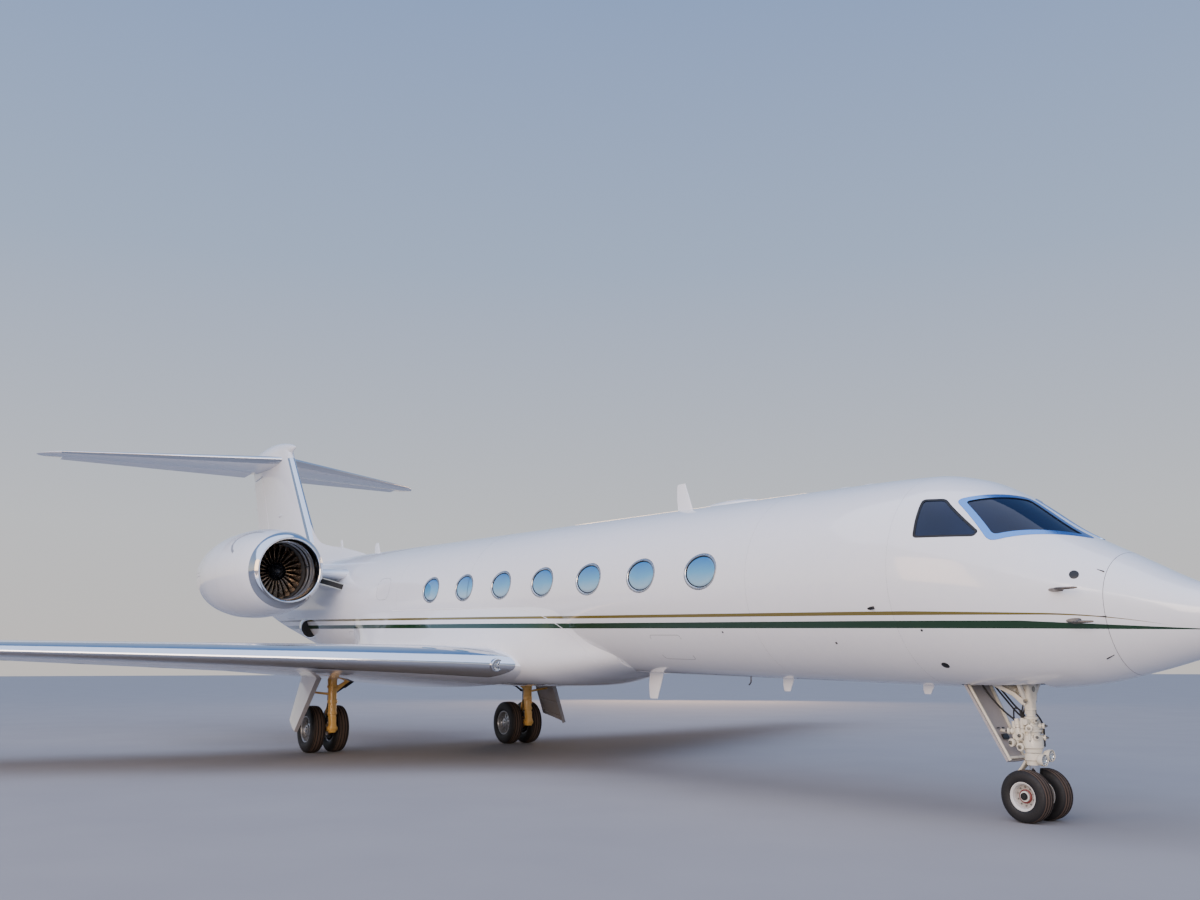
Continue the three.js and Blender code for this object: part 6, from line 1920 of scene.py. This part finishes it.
unions.append(spun((NOSE_X + 0.040, 0, 1.335), (1, 0, 0), [(0, 0.030), (0.014, 0.030), (0.015, 0.020)], 24))
unions.append(beam([((NOSE_X + 0.046, 0.02, 1.14), 0.010, 0.006),
                    ((NOSE_X + 0.046, 0.02, 1.08), 0.010, 0.006)], (0, 1, 0)))
fitted("nose_leg_unions", unions, "airframe", steel_fitting, "gear_paint")
for z, r in ((0.745, 0.100), (0.91, 0.088), (1.04, 0.064), (1.13, 0.052)):
    leg.append(spun((NOSE_X, 0, z - 0.012), (0, 0, 1),
                    [(0, r), (0.004, r + 0.008), (0.020, r + 0.008), (0.024, r)], 40))
leg = fitted("nose_leg_forgings", leg, "airframe", gear_enamel, "gear_paint")
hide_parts("nose_leg")
hoses = []
for side, reach in ((1, 0.0), (-1, 0.04), (1, 0.05)):
    hoses.append(pipe([(at(3.10), 0.10 * side - reach, 1.44), (at(2.98), 0.12 * side, 1.30 - reach),
                       (NOSE_X - 0.26, 0.11 * side, 1.16 - reach), (NOSE_X - 0.16, 0.10 * side, 1.08 - reach),
                       (NOSE_X - 0.10, 0.08 * side, 0.99)], 0.010))
hoses.append(pipe([(NOSE_X + 0.03, 0.050, 1.08), (NOSE_X + 0.055, 0.075, 1.03), (NOSE_X + 0.065, 0.110, 0.95),
                   (NOSE_X + 0.070, 0.105, 0.84), (NOSE_X + 0.085, 0.080, 0.75)], 0.009))
for side in (1, -1):
    hoses.append(pipe([(NOSE_X - 0.05, 0.090 * side, 1.03), (NOSE_X - 0.07, 0.095 * side, 1.12),
                       (NOSE_X - 0.13, 0.095 * side, 1.13), (NOSE_X - 0.15, 0.080 * side, 1.02)], 0.008))
    hoses.append(pipe([(NOSE_X - 0.03, 0.060 * side, 1.20), (NOSE_X - 0.06, 0.065 * side, 1.10),
                       (NOSE_X - 0.08, 0.050 * side, 0.96)], 0.008))
fitted("nose_leg_hoses", hoses, "airframe", hose_rubber, "tyre_rubber")

# Nose fork
# The part below the leg that steers: chromed piston, axle lug, torque links behind it, and two
# round taxi lights on a bracket in front.
fork = [
    spun((NOSE_X, 0, 0.684), (0, 0, -1), [
        (0, 0.080), (0.01, 0.092), (0.07, 0.092), (0.08, 0.078), (0.12, 0.074)], 48),
    beam([((NOSE_X, 0, 0.42), 0.060, 0.058), ((NOSE_X, 0, 0.34), 0.062, 0.066),
          ((NOSE_X, 0, 0.263), 0.070, 0.074),
          ((NOSE_X, 0, 0.205), 0.055, 0.052)], (0, 1, 0), 0.6),
    bar("axle_sleeve", (NOSE_X, -0.088, NOSE_AXLE_Z), (NOSE_X, 0.088, NOSE_AXLE_Z), 0.052),
    beam([((NOSE_X - 0.070, 0, 0.600), 0.060, 0.016), ((NOSE_X - 0.130, 0, 0.535), 0.040, 0.013),
          ((NOSE_X - 0.190, 0, 0.475), 0.024, 0.018)], (0, 1, 0)),
    beam([((NOSE_X - 0.190, 0, 0.475), 0.024, 0.018), ((NOSE_X - 0.120, 0, 0.385), 0.040, 0.013),
          ((NOSE_X - 0.050, 0, 0.310), 0.058, 0.016)], (0, 1, 0)),
    bar("link_pin", (NOSE_X - 0.190, -0.036, 0.475), (NOSE_X - 0.190, 0.036, 0.475), 0.013),
    beam([((NOSE_X + 0.070, 0, 0.645), 0.085, 0.022), ((NOSE_X + 0.105, 0, 0.645), 0.070, 0.030)], (0, 1, 0)),
    beam([((NOSE_X + 0.050, 0, 0.36), 0.030, 0.014), ((NOSE_X + 0.095, 0, 0.345), 0.022, 0.012)], (0, 1, 0)),
]
lamps, mirrors = [], []
for side in (1, -1):
    socket = (NOSE_X + 0.080, 0.064 * side, 0.643 + 0.020 * side)
    fork.append(turned("lamp_body", socket, (1, 0, 0), [
        (0, 0.0), (0, 0.028), (0.015, 0.046), (0.050, 0.060), (0.086, 0.062), (0.088, 0.056), (0.075, 0.052),
        (0.040, 0.030), (0.030, 0.0)], 40))
    mirrors.append(turned("reflector", socket, (1, 0, 0), [
        (0.032, 0.0), (0.041, 0.028), (0.076, 0.0515), (0.078, 0.0505), (0.045, 0.026), (0.036, 0.0)], 40))
    lamps.append(turned("lens", socket, (1, 0, 0), [
        (0.078, 0.0), (0.078, 0.052), (0.082, 0.052), (0.088, 0.030), (0.090, 0.0)], 40))
fork = fitted("nose_fork_forgings", fork, "nose_fork", gear_enamel, "gear_paint")
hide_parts("nose_fork")
piston = spun((NOSE_X, 0, 0.60), (0, 0, -1), [(0, 0.052), (0.22, 0.052)], 40)
for piece, name, finish, slot in ((piston, "nose_piston", chrome_rod, "gear_paint"),
                                  (gathered("mirrors", mirrors), "nose_lamp_reflectors", lamp_mirror,
                                   "polished_metal"),
                                  (gathered("lenses", lamps), "nose_lamp_lenses", lamp_glass,
                                   "cockpit_glass")):
    piece.name = piece.data.name = name
    smoothed(piece, "nose_fork", finish, slot)

# Gear doors
# Sandwich panels, white outside and light grey primer inside with pressed stiffeners; the main
# doors have a deep flange along the front edge and hang from the leg.
door_primer = grainy(material("light_grey_primer", "#a5a1a3", 0.55), 30.0, 0.45, 0.65, ("#999597", "#b1adae"),
                     0.0006)


def panel(name, front_edge, rear_edge, inside, thick, bow=0.0, steps=12):
    """A thin panel between two edges, each from top to bottom, with its thickness to one side."""
    (a, b), (c, d) = front_edge, rear_edge
    rings = []
    for i in range(steps + 1):
        t = i / steps
        start, end = Vector(a).lerp(Vector(b), t), Vector(c).lerp(Vector(d), t)
        near, far = [], []
        for k in range(steps + 1):
            u = k / steps
            lift = Vector(inside) * (bow * 4 * u * (1 - u))
            place = start.lerp(end, u) - lift
            near.append(place)
            far.append(place + Vector(inside) * thick)
        rings.append(near + far[::-1])
    return loft(name, rings)


way = Vector((0.81, 0, 0.43)).normalized()
front = [(at(3.2297), -0.240, 1.400), (at(2.800), -0.170, 0.590)]
rear = [(at(3.2297), 0.240, 1.400), (at(2.800), 0.170, 0.590)]
nose_door = panel("nose_gear_door_panel", front, rear, way, 0.026, 0.02)
nose_door_outside = [f.index for f in nose_door.data.polygons if f.normal.dot(way) < -0.8]
smoothed(nose_door, "airframe", white_plain, "gear_door", door_primer, nose_door_outside)
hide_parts("nose_gear_door")
ribs = []
for t in (0.04, 0.97):
    low = Vector(front[0]).lerp(Vector(front[1]), t) + way * 0.030
    high = Vector(rear[0]).lerp(Vector(rear[1]), t) + way * 0.030
    ribs.append(beam([(low.lerp(high, 0.06), 0.014, 0.014), (low.lerp(high, 0.94), 0.014, 0.014)], way))
for u in (0.10, 0.90):
    top = Vector(front[0]).lerp(Vector(rear[0]), u) + way * 0.028
    foot = Vector(front[1]).lerp(Vector(rear[1]), u) + way * 0.028
    ribs.append(beam([(top, 0.016, 0.012), (foot, 0.016, 0.012)], way))
slots = []
for t, first, last, wide in ((0.60, 0.30, 0.40, 0.006), (0.60, 0.52, 0.62, 0.006), (0.71, 0.34, 0.62, 0.030)):
    low = Vector(front[0]).lerp(Vector(front[1]), t) + way * 0.027
    high = Vector(rear[0]).lerp(Vector(rear[1]), t) + way * 0.027
    slots.append(beam([(low.lerp(high, first), wide, 0.004), (low.lerp(high, last), wide, 0.004)],
                      way.cross(high - low), 0.2))
fitted("nose_gear_door_slots", slots, "airframe", black_fitting, "gear_door")
ribs.append(bar("door_link", (NOSE_X - 0.165, 0.0, 0.87), (at(2.955), 0.0, 0.900), 0.016))
fitted("nose_gear_door_stiffeners", ribs, "airframe", gear_enamel, "gear_door")

# columns: station, y, height of the main door's corners: top front, top rear, bottom rear, bottom front
MAIN_DOOR = [(15.640, 2.600, 1.500), (16.420, 2.610, 1.500), (16.330, 2.860, 0.620), (15.700, 3.000, 0.440)]

# Main legs
# A thick steel leg each side stands ahead of the axle. An arm trails back from its foot between
# the wheels, under a damper with a chromed rod; a side brace folds the leg up.
for side in (1, -1):
    where = sided(side)
    x, y = at(MAIN_AXLE), MAIN_Y * side
    foot, damper = Vector((x + 0.07, y, 0.475)), Vector((0.29, 0, 0.655)).normalized()
    leg = [
        spun((x + 0.330, y, 1.56), (0.095, 0, -0.94), [
            (0, 0.078), (0.08, 0.078), (0.09, 0.100), (0.15, 0.104), (0.18, 0.092), (0.30, 0.088),
            (0.31, 0.100),
            (0.35, 0.100), (0.36, 0.085), (0.58, 0.083), (0.59, 0.096), (0.64, 0.096), (0.65, 0.081),
            (0.80, 0.079),
            (0.81, 0.088), (0.85, 0.088), (0.86, 0.076), (0.94, 0.072)], 48),
        beam([((x + 0.424, y, 0.67), 0.070, 0.074), ((x + 0.436, y, 0.55), 0.060, 0.082),
              ((x + 0.442, y, 0.46), 0.078, 0.098), ((x + 0.442, y, 0.385), 0.062, 0.060)], (0, 1, 0), 0.55),
        beam([((x + 0.442, y, 0.462), 0.060, 0.070), ((x + 0.25, y, 0.445), 0.052, 0.060),
              ((x, y, 0.436), 0.076, 0.088),
              ((x - 0.085, y, 0.430), 0.050, 0.050)], (0, 1, 0), 0.55),
        bar("pivot", (x + 0.442, y - 0.094, 0.455), (x + 0.442, y + 0.094, 0.455), 0.040),
        bar("axle_sleeve", (x, y - 0.100, MAIN_AXLE_Z), (x, y + 0.100, MAIN_AXLE_Z), 0.070),
        bar("trunnion", (x + 0.130, y, 1.455), (x + 0.530, y, 1.455), 0.055),
        spun(foot, damper, [
            (0, 0.030), (0.01, 0.046), (0.06, 0.046), (0.07, 0.034), (0.075, 0.020), (0.24, 0.020),
            (0.245, 0.042),
            (0.27, 0.047), (0.60, 0.047), (0.61, 0.038), (0.66, 0.038), (0.70, 0.024)], 28),
        beam([((x + 0.385, y + 0.02 * side, 1.085), 0.024, 0.030),
              ((x + 0.330, y + 0.53 * side, 1.15), 0.018, 0.018)],
             (0, 0, 1)),
        beam([((x + 0.368, y - 0.05 * side, 1.165), 0.040, 0.046),
              ((x + 0.354, y - 0.24 * side, 1.290), 0.028, 0.030),
              ((x + 0.340, y - 0.48 * side, 1.455), 0.040, 0.042)], (1, 0, 0)),
        spun((x + 0.455, y + 0.035 * side, 1.30), (0.08, 0, -1), [
            (0, 0.014), (0.01, 0.024), (0.16, 0.024), (0.17, 0.013), (0.42, 0.012), (0.43, 0.020),
            (0.46, 0.020)], 16),
    ]
    for z in (0.50, 0.41):
        leg.append(spun((x + 0.505, y - 0.035, z), (0, 1, 0), [(0, 0.014), (0.070, 0.014)], 12))
    for k in (1, -1):
        leg.append(bar("brake_flange", (x, y + 0.075 * k, MAIN_AXLE_Z), (x, y + 0.112 * k, MAIN_AXLE_Z),
                       0.125, segments=40))
    # The gold colour of the main legs is painted low sunlight.
    leg = fitted(f"main_leg_forgings_{where}", leg, "airframe", cream_enamel_painted_gold_light, "gear_paint")
    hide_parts(f"main_leg_{where}")
    piston = spun(foot + damper * 0.08, damper, [(0, 0.027), (0.16, 0.027)], 28)
    piston.name = piston.data.name = f"main_piston_{where}"
    smoothed(piston, "airframe", chrome_rod, "gear_paint")
    actuator = [spun((x + 0.29, y - 0.08 * side, 1.10), (0, -0.52 * side, 0.34), [
        (0, 0.022), (0.04, 0.026), (0.05, 0.020), (0.22, 0.020), (0.225, 0.036), (0.52, 0.036),
        (0.53, 0.024)], 24)]
    for k in (1, -1):
        actuator.append(pipe([(x + 0.240, y + 0.03 * k, 1.46), (x + 0.255, y + 0.035 * k, 1.20),
                              (x + 0.285, y + 0.05 * k, 0.90), (x + 0.325, y + 0.070 * k, 0.66),
                              (x + 0.250, y + 0.070 * k, 0.52), (x + 0.060, y + 0.080 * k, 0.51)], 0.011))
        actuator.append(circled(spun((x, y + 0.095 * k, MAIN_AXLE_Z + 0.100), (0, k, 0), [
            (0, 0.022), (0.030, 0.022), (0.034, 0.014)], 14), hose_rubber, (x, y, MAIN_AXLE_Z), (0, 1, 0), 7))
    fitted(f"main_leg_hoses_and_actuator_{where}", actuator, "airframe", hose_rubber, "tyre_rubber")
    corners = [Vector((at(s), c * side, z)) for s, c, z in MAIN_DOOR]
    inward = (corners[1] - corners[0]).cross(corners[3] - corners[0]).normalized()
    if inward.y * side > 0:
        inward.negate()
    door = panel(f"main_gear_door_{where}", (corners[0], corners[3]), (corners[1], corners[2]), inward, 0.024,
                 0.012)
    door_outside = [f.index for f in door.data.polygons if f.normal.dot(inward) < -0.8]
    smoothed(door, "airframe", white_plain, "gear_door", door_primer, door_outside)
    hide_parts(f"main_leg_{where}")
    ribs = [panel("flange", (corners[0] + inward * 0.022, corners[3] + inward * 0.022),
                  (corners[0] + inward * 0.100, corners[3] + inward * 0.065), Vector((-1, 0, 0)), 0.030)]
    for t in (0.30, 0.62, 0.90):
        near, far = corners[0].lerp(corners[3], t), corners[1].lerp(corners[2], t)
        ribs.append(beam([(near.lerp(far, 0.06) + inward * 0.030, 0.016, 0.012),
                          (near.lerp(far, 0.92) + inward * 0.030, 0.016, 0.012)], inward))
    ribs.append(beam([(corners[1].lerp(corners[2], t).lerp(corners[0].lerp(corners[3], t), 0.04)
                       + inward * 0.030,
                       0.016, 0.012) for t in (0.03, 0.97)], inward))
    fitted(f"main_gear_door_stiffeners_{where}", ribs, "airframe", door_primer, "gear_door")
